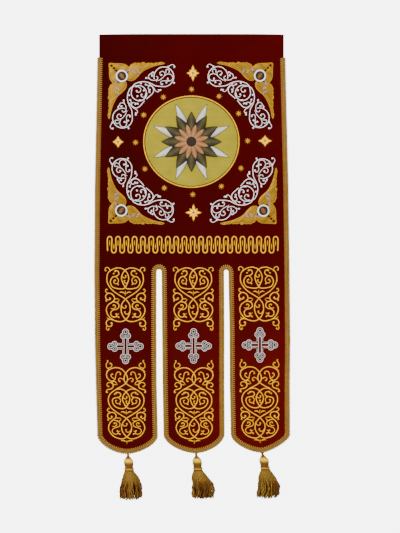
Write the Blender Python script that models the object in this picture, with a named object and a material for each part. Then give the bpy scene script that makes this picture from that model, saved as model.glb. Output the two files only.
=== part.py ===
"""A velvet church banner with three tails, a pole sleeve, edge braid, tassels and raised embroidery.

The model is in metres with Z up, and its front faces -Y. The origin is the middle of the sleeve's
top edge, from which the banner hangs. Sizes below are in millimetres. The cloth is laid out flat
first: x runs to the right of the middle line and drop runs down from the top edge. Every piece is
cut out in that flat layout and then follows the cloth's soft folds.
"""

import math
import random
from collections import namedtuple

import bmesh
import bpy
from mathutils import Vector
from mathutils.geometry import delaunay_2d_cdt

MM = 0.001
MERGE = 0.02

# Overall sizes of the cloth.
SEAM_DROP = 61.0
SLOT_DROP = 611.0
TAIL_END_DROP = 1089.0
CLOTH_THICK = 2.4
TOUCH_GAP = 0.55
SEAM_GAP = 0.3
CUT_STEP = 44.0
SLOT_TOP_STEP = 3.6
TAIL_END_STEPS = 7

# Inner corners of large pieces: how far apart they are, and how far from the piece's own edge.
INNER_STEP_X = 29.0
INNER_STEP_DROP = 50.0
INNER_CLEAR = 6.5
LONGEST_EDGE = 46.0

# Distances in front of the cloth's middle at which the layers of trim lie.
LAYER_1_BACK = CLOTH_THICK / 2 + TOUCH_GAP
LAYER_1_FRONT = LAYER_1_BACK + 1.3
LAYER_THICK = 1.0

# The outer edges of the cloth, which aren't quite straight.
Side = namedtuple("Side", "drop left right")
SIDES = (
    Side(62, -244.4, 241.3),
    Side(182, -246.7, 244.1),
    Side(400, -251.2, 249.6),
    Side(618, -252.7, 252.5),
    Side(800, -251.0, 254.2),
    Side(910, -248.3, 252.9),
    Side(1040, -244.4, 253.0),
)

# The two slots, which widen a little downwards: where the cut edges stand at each drop.
Cut = namedtuple("Cut", "drop first_left first_right second_left second_right")
CUTS = (
    Cut(618, -92.8, -78.3, 82.7, 95.1),
    Cut(764, -93.1, -77.2, 83.7, 98.0),
    Cut(910, -92.3, -75.7, 83.4, 98.8),
    Cut(1040, -89.4, -73.6, 84.3, 101.4),
)

# The tails' rounded ends. round_left and round_right are superellipse powers: 2 is a true ellipse.
# sway is how far the end swings forwards, twist how far its right edge comes forward of that, and
# bow how far its middle stands behind its edges.
TAIL_COLUMNS = "name left_corner right_corner low_x low_drop round_left round_right sway twist bow"
Tail = namedtuple("Tail", TAIL_COLUMNS)
TAILS = (
    Tail("left", 1041, 1045, -169.0, 1089.4, 1.72, 1.70, 3.0, -3.5, 2.5),
    Tail("middle", 1042, 1040, 8.6, 1089.4, 1.70, 1.70, -2.5, 3.0, -2.0),
    Tail("right", 1040, 1042, 182.0, 1086.3, 1.70, 1.35, 4.5, 2.5, 3.0),
)

# The soft folds of the hanging cloth: crests run down it, leaning a little, and start at a drop.
Fold = namedtuple("Fold", "depth pitch crest lean start")
FOLDS = (
    Fold(2.6, 340.0, -70.0, 0.07, 90.0),
    Fold(1.3, 215.0, 35.0, -0.05, 260.0),
)
FOLD_RISE = 420.0

# The pole sleeve: a flat front, a turned top and a back that slants in to the seam.
SLEEVE_LEFT = -241.8
SLEEVE_RIGHT = 239.0
SLEEVE_WALL = 2.2
SLEEVE_DEPTH = 15.0
SLEEVE_BACK_DROP = 42.0
SLEEVE_STATIONS = 12
SLEEVE_CORNER_DIP = 2.6
SLEEVE_TURN_STEPS = 6

# The braid along the cloth's edge.
BRAID_WIDTH = 12.6
BRAID_OVERHANG = 0.7
BRAID_THICK = 1.7

# Couched cords of the embroidery.
CORD_WIDTH = 4.6
CORD_STEP = 14.0

# The medallion, an almost round disc.
MEDALLION_X = -1.6
MEDALLION_DROP = 279.8
MEDALLION_WIDE = 251.6
MEDALLION_HIGH = 241.0
RIM_WIDTH = 5.2
RIM_THICK = 2.4
RIM_SEGMENTS = 48

# How far along a petal its outline's corners lie.
PETAL_PARTS = (0.0, 0.22, 0.5, 0.78, 1.0)

# Stars round the medallion.
Spot = namedtuple("Spot", "x drop")
STARS = (
    Spot(-1.0, 143.3),
    Spot(70.5, 161.5),
    Spot(121.2, 206.2),
    Spot(144.6, 277.4),
    Spot(127.4, 348.4),
    Spot(76.4, 395.7),
    Spot(2.1, 416.8),
    Spot(-72.0, 399.9),
    Spot(-122.5, 350.5),
    Spot(-146.6, 281.6),
    Spot(-125.6, 210.3),
    Spot(-74.4, 163.8),
)
STAR_POINT = 7.4
STAR_WAIST = 3.6

# Corner ornaments: the leaf tip, and the directions of "along the edge" and "down the side".
Corner = namedtuple("Corner", "name x drop across down")
CORNERS = (
    Corner("upper_left", -215.3, 76.2, 1, 1),
    Corner("upper_right", 209.8, 76.2, -1, 1),
    Corner("lower_left", -218.9, 493.0, 1, -1),
    Corner("lower_right", 220.0, 494.0, -1, -1),
)
SCROLL_OFFSET = 88.5
ROUNDEL_OFFSET = 33.0
ROUNDEL_RADIUS = 15.6
ROUNDEL_SEGMENTS = 16
Point = namedtuple("Point", "along off")
WING = (
    Point(51.5, 14.3),
    Point(59.1, 3.8),
    Point(70.6, -1.5),
    Point(92.5, -2.5),
    Point(92.0, 4.4),
    Point(102.0, 0.0),
    Point(113.5, -1.3),
    Point(112.6, 3.2),
    Point(125.0, -2.5),
    Point(144.0, -1.0),
    Point(120.2, 8.6),
    Point(101.0, 15.8),
    Point(85.9, 24.8),
    Point(68.7, 43.0),
    Point(57.2, 45.8),
    Point(48.7, 42.0),
    Point(44.8, 33.4),
)
LEAF = (
    Point(0.0, 0.0),
    Point(13.4, 0.6),
    Point(32.4, 0.8),
    Point(43.9, 4.8),
    Point(53.4, 12.4),
    Point(43.9, 22.0),
    Point(30.0, 30.0),
)

# Strands of the silver scroll band on its own axes: along the band and towards the medallion.
SCROLL_LOOP_CENTRE = 76.0
SCROLL_LOOP_RADIUS = 25.7
SCROLL_LOOP_FROM = -150.0
SCROLL_LOOP_TO = 130.0
SCROLL_STRAND = (
    Point(45.0, 2.6),
    Point(37.5, -17.4),
    Point(25.5, -32.2),
    Point(7.0, -40.3),
    Point(-7.0, -35.0),
    Point(-17.0, -26.0),
    Point(-19.0, -12.2),
    Point(-11.0, 1.6),
    Point(4.7, 4.2),
    Point(13.0, -4.0),
)
SCROLL_LOWER_ARC = (
    Point(36.0, -16.0),
    Point(35.5, 1.0),
    Point(26.0, 9.5),
    Point(3.0, 8.6),
)

# Strands of the tail panels, as the half on the right of the panel's middle line: how far to the
# side, and how far below the panel's top. A minus side has crossed over the middle line.
Turn = namedtuple("Turn", "side down")
UPPER_HEART = (
    Turn(0.0, 83.0),
    Turn(31.0, 62.5),
    Turn(44.6, 45.0),
    Turn(47.5, 29.6),
    Turn(42.0, 12.5),
    Turn(20.0, 2.3),
    Turn(0.0, 8.6),
    Turn(-9.4, 29.0),
    Turn(0.0, 52.5),
    Turn(11.0, 56.8),
    Turn(31.9, 52.5),
    Turn(38.6, 39.0),
    Turn(32.8, 26.7),
    Turn(20.0, 22.5),
    Turn(17.5, 13.5),
    Turn(27.0, 12.0),
)
UPPER_LOOP = (
    Turn(0.0, 83.0),
    Turn(-10.4, 98.0),
    Turn(-10.6, 119.0),
    Turn(0.0, 136.4),
    Turn(15.6, 141.8),
    Turn(34.7, 136.4),
    Turn(47.1, 123.0),
    Turn(50.0, 109.7),
    Turn(45.2, 98.3),
    Turn(35.7, 89.7),
    Turn(30.5, 80.0),
    Turn(34.0, 69.5),
    Turn(45.0, 68.6),
    Turn(51.3, 77.0),
    Turn(46.2, 84.9),
)
UPPER_FOOT = (
    Turn(40.5, 131.5),
    Turn(49.0, 134.0),
    Turn(52.5, 143.0),
    Turn(46.5, 154.0),
    Turn(38.0, 149.0),
)
LOWER_HEART = (
    Turn(33.8, 67.9),
    Turn(37.1, 59.3),
    Turn(45.7, 52.8),
    Turn(50.0, 42.0),
    Turn(44.6, 30.2),
    Turn(27.0, 23.0),
    Turn(9.0, 28.0),
    Turn(-3.8, 46.0),
    Turn(0.0, 63.6),
    Turn(26.0, 79.5),
    Turn(41.4, 91.6),
    Turn(46.4, 106.7),
    Turn(41.4, 124.0),
    Turn(26.3, 138.0),
    Turn(0.0, 154.2),
)
LOWER_RING = (
    Turn(28.0, 80.0),
    Turn(13.4, 78.7),
    Turn(0.0, 86.0),
    Turn(-9.6, 104.0),
    Turn(0.0, 125.0),
    Turn(13.4, 129.4),
    Turn(28.5, 124.0),
    Turn(35.4, 110.0),
    Turn(30.0, 100.0),
    Turn(19.0, 100.0),
)
LOWER_LOOP = (
    Turn(0.0, 154.2),
    Turn(-11.6, 170.0),
    Turn(-11.4, 188.0),
    Turn(0.0, 202.7),
    Turn(14.0, 208.0),
    Turn(34.9, 200.5),
    Turn(46.5, 183.0),
    Turn(41.4, 164.0),
    Turn(29.5, 155.0),
    Turn(26.5, 144.0),
    Turn(37.0, 138.8),
    Turn(47.0, 146.0),
    Turn(40.0, 153.0),
)
LOWER_HORN = (
    Turn(43.0, 29.0),
    Turn(50.5, 20.0),
    Turn(47.0, 9.0),
    Turn(39.5, 14.0),
)
Panel = namedtuple("Panel", "tail x_top x_bottom upper_drop lower_drop cross_x cross_drop")
PANELS = (
    Panel("left", -173.1, -169.5, 605.5, 843.7, -172.6, 811.5),
    Panel("middle", 3.4, 5.2, 605.5, 844.5, 4.2, 810.7),
    Panel("right", 174.5, 177.0, 603.5, 841.5, 176.5, 807.8),
)

# The silver crosses with three round buds on each arm.
CROSS_WIDE = 95.4
CROSS_HIGH = 92.6
CROSS_BAR = 16.8
END_BUD = 9.2
SIDE_BUD = 7.8
SIDE_BUD_OUT = 7.0
SIDE_BUD_BACK = 5.5
BUD_SEGMENTS = 8

# The frieze above the tails: one cord that goes up and down between two levels.
FRIEZE_LEFT = -219.0
FRIEZE_RIGHT = 223.0
FRIEZE_TOP = 525.5
FRIEZE_BOTTOM = 569.5
FRIEZE_UPRIGHTS = 42

# The small leaf flowers round the medallion: four long leaves and four short ones.
Ornament = namedtuple("Ornament", "name x drop wide high")
ORNAMENTS = (
    Ornament("top", 2.6, 101.5, 36.0, 45.0),
    Ornament("bottom", 4.0, 464.0, 46.0, 48.0),
    Ornament("left", -192.0, 280.5, 31.0, 32.0),
    Ornament("right", 190.0, 277.5, 38.0, 32.0),
)
LEAF_HALF_WIDTH = 4.6
SHORT_LEAF_SHARE = 0.68

# Tassels, hung from the tails' lowest points: x, drop and the size of each, how far its end leans.
Tassel = namedtuple("Tassel", "name x drop lean_x lean_y spread seed")
TASSELS = (
    Tassel("left", -164.6, 1090.4, 2.5, -3.0, 1.0, 3),
    Tassel("middle", 11.0, 1090.4, 13.0, 2.0, 0.86, 8),
    Tassel("right", 185.0, 1087.6, 12.0, 4.0, 0.86, 21),
)
TASSEL_SEGMENTS = 13
TASSEL_DEPTH = 0.78
STRAND_LENGTHS = (40.0, 47.0, 49.0)
STRAND_STEPS = 3
# The tassel's turned outline, below the point that it hangs from.
Ring = namedtuple("Ring", "down radius")
TASSEL_OUTLINE = (
    Ring(0.0, 2.2),
    Ring(8.0, 2.2),
    Ring(9.0, 5.4),
    Ring(12.5, 9.6),
    Ring(18.5, 12.8),
    Ring(25.0, 12.6),
    Ring(30.5, 10.6),
    Ring(35.5, 11.0),
    Ring(38.0, 12.9),
    Ring(41.5, 12.9),
    Ring(44.5, 12.3),
    Ring(52.0, 15.6),
    Ring(61.0, 20.6),
    Ring(70.0, 24.0),
)

# Colours of the finishes.
Finish = namedtuple("Finish", "name red green blue roughness metallic")
VELVET = Finish("velvet", 0.085, 0.002, 0.002, 0.85, 0.0)
GOLD_BRAID = Finish("gold_braid", 0.42, 0.24, 0.045, 0.55, 0.4)
GOLD_CORD = Finish("gold_cord", 0.62, 0.33, 0.07, 0.45, 0.4)
GOLD_FILL = Finish("gold_fill", 0.50, 0.30, 0.08, 0.5, 0.3)
GOLD_FIELD = Finish("gold_field", 0.46, 0.34, 0.08, 0.55, 0.3)
SILVER_CORD = Finish("silver_cord", 0.62, 0.62, 0.64, 0.4, 0.4)
OLIVE_THREAD = Finish("olive_thread", 0.10, 0.075, 0.03, 0.7, 0.0)
TAN_THREAD = Finish("tan_thread", 0.48, 0.24, 0.10, 0.6, 0.0)
DARK_THREAD = Finish("dark_thread", 0.02, 0.015, 0.01, 0.7, 0.0)
TASSEL_GOLD = Finish("tassel_gold", 0.40, 0.22, 0.03, 0.45, 0.2)


def remove_scene_objects():
    """Start from an empty scene."""
    for item in list(bpy.data.objects):
        bpy.data.objects.remove(item, do_unlink=True)


def material_of(finish):
    """The Principled material of a finish, made once."""
    found = bpy.data.materials.get(finish.name)
    if found:
        return found
    made = bpy.data.materials.new(finish.name)
    made.use_nodes = True
    shader = made.node_tree.nodes["Principled BSDF"]
    shader.inputs["Base Color"].default_value = (finish.red, finish.green, finish.blue, 1.0)
    shader.inputs["Roughness"].default_value = finish.roughness
    shader.inputs["Metallic"].default_value = finish.metallic
    return made


def between(rows, column, drop):
    """A column of a table at a drop, straight between its rows."""
    if drop <= rows[0].drop:
        return getattr(rows[0], column)
    for upper, lower in zip(rows, rows[1:]):
        if drop <= lower.drop:
            part = (drop - upper.drop) / (lower.drop - upper.drop)
            first = getattr(upper, column)
            return first + part * (getattr(lower, column) - first)
    return getattr(rows[-1], column)


def eased(value):
    """0 to 1 with a soft start and end."""
    value = min(max(value, 0.0), 1.0)
    return value * value * (3.0 - 2.0 * value)


def tail_edges(index, drop):
    """The left and right edges of a tail at a drop."""
    columns = (("left", "first_left"), ("first_right", "second_left"), ("second_right", "right"))
    left, right = columns[index]
    left_rows = SIDES if index == 0 else CUTS
    right_rows = SIDES if index == 2 else CUTS
    return between(left_rows, left, drop), between(right_rows, right, drop)


def tail_at(x, drop):
    """Which tail a place belongs to, counted from the left."""
    first = (between(CUTS, "first_left", drop) + between(CUTS, "first_right", drop)) / 2
    second = (between(CUTS, "second_left", drop) + between(CUTS, "second_right", drop)) / 2
    return (x > first) + (x > second)


def swell(x, drop):
    """How far the cloth's middle stands behind the flat, in millimetres."""
    depth = 0.0
    for fold in FOLDS:
        rise = eased((drop - fold.start) / FOLD_RISE)
        turn = (x - fold.crest - fold.lean * drop) / fold.pitch
        depth += rise * fold.depth * math.cos(2 * math.pi * turn)
    if drop > SLOT_DROP:
        index = tail_at(x, drop)
        tail = TAILS[index]
        left, right = tail_edges(index, min(drop, SIDES[-1].drop))
        across = (2 * x - left - right) / (right - left)
        fall = (drop - SLOT_DROP) / (TAIL_END_DROP - SLOT_DROP)
        swing = -tail.sway - tail.twist * across + tail.bow * (1 - across * across)
        depth += swing * fall * fall
    return depth


def place(x, drop, forward):
    """A point of the flat layout on the hanging cloth, forward of the cloth's middle."""
    return Vector((x * MM, (swell(x, drop) - forward) * MM, -drop * MM))


def add_object(name, mesh, finish, smooth_angle=None):
    """An object for a mesh, with its finish, shaded smooth where its faces meet gently."""
    item = bpy.data.objects.new(name, mesh)
    bpy.context.scene.collection.objects.link(item)
    mesh.materials.append(material_of(finish))
    if smooth_angle is not None:
        mesh.shade_smooth()
        mesh.set_sharp_from_angle(angle=smooth_angle)
    return item


def mesh_from(name, points, faces):
    """A closed mesh whose faces all point outwards."""
    mesh = bpy.data.meshes.new(name)
    mesh.from_pydata(points, [], faces)
    shape = bmesh.new()
    shape.from_mesh(mesh)
    bmesh.ops.recalc_face_normals(shape, faces=shape.faces)
    shape.to_mesh(mesh)
    shape.free()
    return mesh


def signed_area(corners):
    """The area of a flat polygon, above zero when it runs anticlockwise."""
    total = 0.0
    for first, second in zip(corners, corners[1:] + corners[:1]):
        total += first[0] * second[1] - second[0] * first[1]
    return total / 2


def edge_uses(triangles):
    """Every edge of some triangles, with the triangles that it bounds."""
    uses = {}
    for number, triangle in enumerate(triangles):
        for first, second in zip(triangle, triangle[1:] + triangle[:1]):
            uses.setdefault((min(first, second), max(first, second)), []).append(number)
    return uses


def union_outline(polygons):
    """The corners and edges round the union of flat polygons, with no edge too long to bend."""
    corners = []
    loops = []
    for polygon in polygons:
        ordered = list(polygon) if signed_area(list(polygon)) > 0 else list(polygon)[::-1]
        loops.append(list(range(len(corners), len(corners) + len(ordered))))
        corners.extend(Vector(corner) for corner in ordered)
    points, _, faces, _, _, sources = delaunay_2d_cdt(corners, [], loops, 0, MERGE, True)
    covered = [face for face, source in zip(faces, sources) if source]
    points = list(points)
    outline = []
    for (first, second), users in edge_uses(covered).items():
        if len(users) > 1:
            continue
        start, end = points[first], points[second]
        pieces = max(1, math.ceil((end - start).length / LONGEST_EDGE))
        chain = [first]
        for index in range(1, pieces):
            chain.append(len(points))
            points.append(start.lerp(end, index / pieces))
        chain.append(second)
        outline += zip(chain, chain[1:])
    used = sorted({corner for edge in outline for corner in edge})
    number = {corner: index for index, corner in enumerate(used)}
    edges = [(number[first], number[second]) for first, second in outline]
    return [points[corner] for corner in used], edges


def inner_corners(points, edges):
    """Evenly spread corners that keep clear of an outline's edges."""
    left = min(point[0] for point in points)
    right = max(point[0] for point in points)
    top = min(point[1] for point in points)
    bottom = max(point[1] for point in points)
    columns = round((right - left) / INNER_STEP_X)
    rows = round((bottom - top) / INNER_STEP_DROP)
    kept = []
    for row in range(1, rows):
        for column in range(1, columns):
            x = left + (right - left) * column / columns
            here = Vector((x, top + (bottom - top) * row / rows))
            if all(off_stretch(here, points[a], points[b]) > INNER_CLEAR for a, b in edges):
                kept.append(here)
    return kept


def off_stretch(here, first, second):
    """How far a flat point is from a straight stretch."""
    along = second - first
    part = min(max((here - first).dot(along) / max(along.length_squared, 1e-9), 0.0), 1.0)
    return (first + along * part - here).length


def joined_area(polygons):
    """The union of flat polygons as triangles."""
    points, edges = union_outline(polygons)
    points += inner_corners(points, edges)
    points, lines, faces, _, line_sources, _ = delaunay_2d_cdt(points, edges, [], 0, MERGE, True)
    triangles = [list(face) for face in faces]
    uses = edge_uses(triangles)
    fence = {(min(line), max(line)) for line, source in zip(lines, line_sources) if source}
    inside = {}
    waiting = []
    for edge, users in uses.items():
        if len(users) == 1:
            inside.setdefault(users[0], edge in fence)
            waiting.append(users[0])
    beside = {}
    for edge, users in uses.items():
        if len(users) == 2:
            crossing = edge in fence
            beside.setdefault(users[0], []).append((users[1], crossing))
            beside.setdefault(users[1], []).append((users[0], crossing))
    while waiting:
        here = waiting.pop()
        for there, crossing in beside.get(here, ()):
            if there not in inside:
                inside[there] = inside[here] != crossing
                waiting.append(there)
    return points, [triangle for number, triangle in enumerate(triangles) if inside[number]]


def cut_out(name, polygons, back, front, finish):
    """A piece cut to the union of the polygons, laid on the cloth between two distances from it."""
    points, triangles = joined_area(polygons)
    used = sorted({corner for triangle in triangles for corner in triangle})
    number = {corner: index for index, corner in enumerate(used)}
    solid = [place(points[corner][0], points[corner][1], front) for corner in used]
    solid += [place(points[corner][0], points[corner][1], back) for corner in used]
    under = len(used)
    rings = [[number[corner] for corner in triangle] for triangle in triangles]
    faces = rings + [[under + corner for corner in ring[::-1]] for ring in rings]
    for (first, second), users in edge_uses(rings).items():
        if len(users) == 1:
            faces.append([first, second, under + second, under + first])
    return add_object(name, mesh_from(name, solid, faces), finish)


def smooth_line(knots, step):
    """A soft line through its knots, with points about step apart."""
    knots = [Vector(knot) for knot in knots]
    before = [knots[0] * 2 - knots[1], *knots, knots[-1] * 2 - knots[-2]]
    line = []
    for a, b, c, d in zip(before, before[1:], before[2:], before[3:]):
        pieces = max(1, round((c - b).length / step))
        for index in range(pieces):
            t = index / pieces
            bend = (2 * a - 5 * b + 4 * c - d) * t * t + (3 * b - a - 3 * c + d) * t ** 3
            line.append(0.5 * (2 * b + (c - a) * t + bend))
    line.append(knots[-1])
    return line


def disc(x, drop, radius, segments, stretch=1.0):
    """A flat round, or an oval when stretch isn't 1."""
    turns = [2 * math.pi * index / segments for index in range(segments)]
    return [(x + radius * math.cos(turn), drop + radius * stretch * math.sin(turn)) for turn in turns]


def ribbon(line, width):
    """The flat quads of a cord that follows a line."""
    half = width / 2
    sides = []
    for index, point in enumerate(line):
        ahead = line[min(index + 1, len(line) - 1)]
        behind = line[max(index - 1, 0)]
        along = (ahead - behind).normalized()
        out = Vector((-along[1], along[0])) * half
        sides.append((point + out, point - out))
    quads = []
    for (left, right), (next_left, next_right) in zip(sides, sides[1:]):
        quads.append([left, right, next_right, next_left])
    return quads


def mirrored(line):
    """The line and its twin on the other side of the middle."""
    return [line, [Vector((-point[0], point[1])) for point in line]]


def arc(centre, radius, start, end, step):
    """Points on part of a circle, with its angles in degrees."""
    pieces = max(2, round(abs(end - start) * math.pi / 180 * radius / step))
    angles = [math.radians(start + (end - start) * index / pieces) for index in range(pieces + 1)]
    return [Vector((centre[0] + radius * math.cos(a), centre[1] + radius * math.sin(a))) for a in angles]


def tail_end(index):
    """The rounded end of a tail from its left corner to its right corner."""
    tail = TAILS[index]
    left = tail_edges(index, tail.left_corner)[0]
    right = tail_edges(index, tail.right_corner)[1]
    line = []
    quarters = (
        (left, tail.left_corner, tail.round_left, 90.0, 0.0),
        (right, tail.right_corner, tail.round_right, 0.0, 90.0),
    )
    for corner_x, corner_drop, power, start, end in quarters:
        for piece in range(TAIL_END_STEPS + 1):
            angle = math.radians(start + (end - start) * piece / TAIL_END_STEPS)
            across = math.sin(angle) ** (2 / power)
            down = max(math.cos(angle), 0.0) ** (2 / power)
            x = tail.low_x + (corner_x - tail.low_x) * across
            line.append(Vector((x, corner_drop + (tail.low_drop - corner_drop) * down)))
    middle = len(line) // 2
    return line[:middle] + line[middle + 1 :]


def straight_edge(rows, column, start, end):
    """An edge of the cloth from one drop to another, as its table says."""
    pieces = max(2, round(abs(end - start) / CUT_STEP))
    drops = [start + (end - start) * index / pieces for index in range(pieces + 1)]
    return [Vector((between(rows, column, drop), drop)) for drop in drops]


def slot_top(left_column, right_column):
    """The round top of a slot, from its left edge over to its right edge."""
    drop = CUTS[0].drop
    left = between(CUTS, left_column, drop)
    right = between(CUTS, right_column, drop)
    radius = (right - left) / 2
    return arc(((left + right) / 2, drop), radius, 180, 360, SLOT_TOP_STEP)


def cut_edge():
    """The cloth's edge from the seam's left end round the tails and slots to its right end."""
    line = straight_edge(SIDES, "left", SEAM_DROP, TAILS[0].left_corner)
    slots = (("first_left", "first_right"), ("second_left", "second_right"))
    for index, (left, right) in enumerate(slots):
        line += tail_end(index)[1:]
        line += straight_edge(CUTS, left, TAILS[index].right_corner, CUTS[0].drop)[1:]
        line += slot_top(left, right)[1:]
        line += straight_edge(CUTS, right, CUTS[0].drop, TAILS[index + 1].left_corner)[1:]
    line += tail_end(2)[1:]
    line += straight_edge(SIDES, "right", TAILS[2].right_corner, SEAM_DROP)[1:]
    return line


def make_cloth(edge):
    """The velvet panel with its three tails."""
    half = CLOTH_THICK / 2
    cut_out("banner_cloth", [edge], -half, half, VELVET)


def make_braid(edge):
    """The gold braid that follows the cut edge on the front."""
    rows = []
    for index, point in enumerate(edge):
        ahead = edge[min(index + 1, len(edge) - 1)]
        behind = edge[max(index - 1, 0)]
        along = (ahead - behind).normalized()
        inward = Vector((along[1], -along[0]))
        rows.append((point - inward * BRAID_OVERHANG, point + inward * (BRAID_WIDTH - BRAID_OVERHANG)))
    quads = []
    for (outer, inner), (next_outer, next_inner) in zip(rows, rows[1:]):
        quads.append([outer, inner, next_inner, next_outer])
    cut_out("edge_braid", quads, LAYER_1_BACK, LAYER_1_BACK + BRAID_THICK, GOLD_BRAID)


def sleeve_sections():
    """The sleeve's outer and inner outlines as (backwards, drop), from the front's foot over the top."""
    front = -CLOTH_THICK / 2
    radius = SLEEVE_DEPTH / 2
    foot = SEAM_DROP - SEAM_GAP

    def loop(inset, foot_drop):
        near = front + inset
        turn_radius = radius - inset
        middle = front + radius
        turns = [math.pi - math.pi * index / SLEEVE_TURN_STEPS for index in range(SLEEVE_TURN_STEPS + 1)]
        turned = [(middle + turn_radius * math.cos(t), radius - turn_radius * math.sin(t)) for t in turns]
        far = front + SLEEVE_DEPTH - inset
        slant = (SLEEVE_BACK_DROP + foot_drop) / 2
        closing = [(far, SLEEVE_BACK_DROP * 0.62), (far - radius * 0.42, slant), (near + 0.6, foot_drop)]
        return [(near, foot_drop), (near, SLEEVE_BACK_DROP * 0.6), *turned, *closing]

    outer = loop(0.0, foot)
    inner = loop(SLEEVE_WALL, foot - 3.2 * SLEEVE_WALL)
    outer[-1] = (front + CLOTH_THICK, foot)
    return outer, inner


def make_sleeve():
    """The pole sleeve, open at both ends, with soft corners at its top."""
    outer, inner = sleeve_sections()
    size = len(outer)
    points = []
    for station in range(SLEEVE_STATIONS + 1):
        part = station / SLEEVE_STATIONS
        x = SLEEVE_LEFT + (SLEEVE_RIGHT - SLEEVE_LEFT) * part
        dip = SLEEVE_CORNER_DIP * (2 * part - 1) ** 6
        for backwards, drop in [*outer, *inner]:
            low = drop + dip * max(0.0, 1 - drop / SLEEVE_BACK_DROP)
            points.append(Vector((x * MM, backwards * MM, -low * MM)))
    faces = []
    ring = 2 * size
    for station in range(SLEEVE_STATIONS):
        here = station * ring
        for first in range(size):
            second = (first + 1) % size
            faces.append([here + first, here + second, here + ring + second, here + ring + first])
            a, b = here + size + first, here + size + second
            faces.append([b, a, a + ring, b + ring])
    for here in (0, SLEEVE_STATIONS * ring):
        for first in range(size):
            second = (first + 1) % size
            faces.append([here + first, here + second, here + size + second, here + size + first])
    add_object("pole_sleeve", mesh_from("pole_sleeve", points, faces), VELVET, math.radians(35))


def oval(x, drop, wide, high, segments):
    """A flat oval of a width and a height."""
    return disc(x, drop, wide / 2, segments, high / wide)


def make_medallion():
    """The stitched field, its raised rim and the layered rosette on it."""
    inner_wide = MEDALLION_WIDE - 2 * RIM_WIDTH
    inner_high = MEDALLION_HIGH - 2 * RIM_WIDTH
    outer = oval(MEDALLION_X, MEDALLION_DROP, MEDALLION_WIDE, MEDALLION_HIGH, RIM_SEGMENTS)
    inner = oval(MEDALLION_X, MEDALLION_DROP, inner_wide, inner_high, RIM_SEGMENTS)
    quads = []
    for index in range(RIM_SEGMENTS):
        after = (index + 1) % RIM_SEGMENTS
        quads.append([outer[index], outer[after], inner[after], inner[index]])
    cut_out("medallion_rim", quads, LAYER_1_BACK, LAYER_1_BACK + RIM_THICK, GOLD_CORD)

    gap = 2 * TOUCH_GAP
    field = oval(MEDALLION_X, MEDALLION_DROP, inner_wide - gap, inner_high - gap, RIM_SEGMENTS)
    cut_out("medallion_field", [field], LAYER_1_BACK, LAYER_1_FRONT, GOLD_FIELD)


def petal(middle, turn, start, end, half_width):
    """A leaf-shaped petal that points away from a middle."""
    along = Vector((math.cos(turn), math.sin(turn)))
    across = Vector((-along[1], along[0]))
    left = []
    right = []
    for part in PETAL_PARTS:
        reach = start + (end - start) * part
        wide = half_width * math.sin(math.pi * (0.18 + 0.82 * part))
        left.append(middle + along * reach + across * wide)
        right.append(middle + along * reach - across * wide)
    return left + right[-2::-1]


def ring_of_petals(middle, count, start, end, half_width, shift=0.0):
    """Petals spread evenly round a middle."""
    turns = [2 * math.pi * (index + shift) / count for index in range(count)]
    return [petal(middle, turn, start, end, half_width) for turn in turns]


def make_rosette():
    """The generic ornament on the medallion: silver rays, olive leaves, tan petals and a button."""
    middle = Vector((MEDALLION_X, MEDALLION_DROP))
    Layer = namedtuple("Layer", "name count start end half_width shift core finish")
    layers = (
        Layer("medallion_rays", 8, 16.0, 106.0, 11.0, 0.5, 30.0, SILVER_CORD),
        Layer("medallion_leaves", 12, 14.0, 78.0, 13.5, 0.0, 30.0, OLIVE_THREAD),
        Layer("medallion_petals", 12, 8.0, 47.0, 8.6, 0.5, 18.0, TAN_THREAD),
    )
    back = LAYER_1_FRONT + TOUCH_GAP
    for layer in layers:
        shapes = ring_of_petals(middle, layer.count, layer.start, layer.end, layer.half_width, layer.shift)
        shapes.append(disc(*middle, layer.core, 24))
        cut_out(layer.name, shapes, back, back + LAYER_THICK, layer.finish)
        back += LAYER_THICK + TOUCH_GAP
    cut_out("medallion_button", [disc(*middle, 13.0, 20)], back, back + LAYER_THICK, DARK_THREAD)


def make_stars():
    """The twelve eight-pointed stars."""
    for index, spot in enumerate(STARS):
        outline = []
        for corner in range(16):
            turn = math.pi * corner / 8
            radius = STAR_WAIST if corner % 2 else STAR_POINT
            outline.append((spot.x + radius * math.cos(turn), spot.drop + radius * math.sin(turn)))
        cut_out(f"star_{index + 1:02d}", [outline], LAYER_1_BACK, LAYER_1_FRONT, GOLD_CORD)


def make_corner(corner):
    """A wing pair and leaf pair that point into a corner, with a roundel on them."""

    def seated(point):
        return (corner.x + corner.across * point[0], corner.drop + corner.down * point[1])

    shapes = []
    for outline in (WING, LEAF):
        shapes.append([seated(point) for point in outline])
        shapes.append([seated((point.off, point.along)) for point in outline])
    centre = seated((ROUNDEL_OFFSET, ROUNDEL_OFFSET))
    shapes.append(disc(*centre, ROUNDEL_RADIUS, ROUNDEL_SEGMENTS))
    cut_out(f"corner_wings_{corner.name}", shapes, LAYER_1_BACK, LAYER_1_FRONT, GOLD_FILL)
    back = LAYER_1_FRONT + TOUCH_GAP
    round_shape = [disc(*centre, ROUNDEL_RADIUS, ROUNDEL_SEGMENTS)]
    cut_out(f"corner_roundel_{corner.name}", round_shape, back, back + LAYER_THICK, SILVER_CORD)


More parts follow.
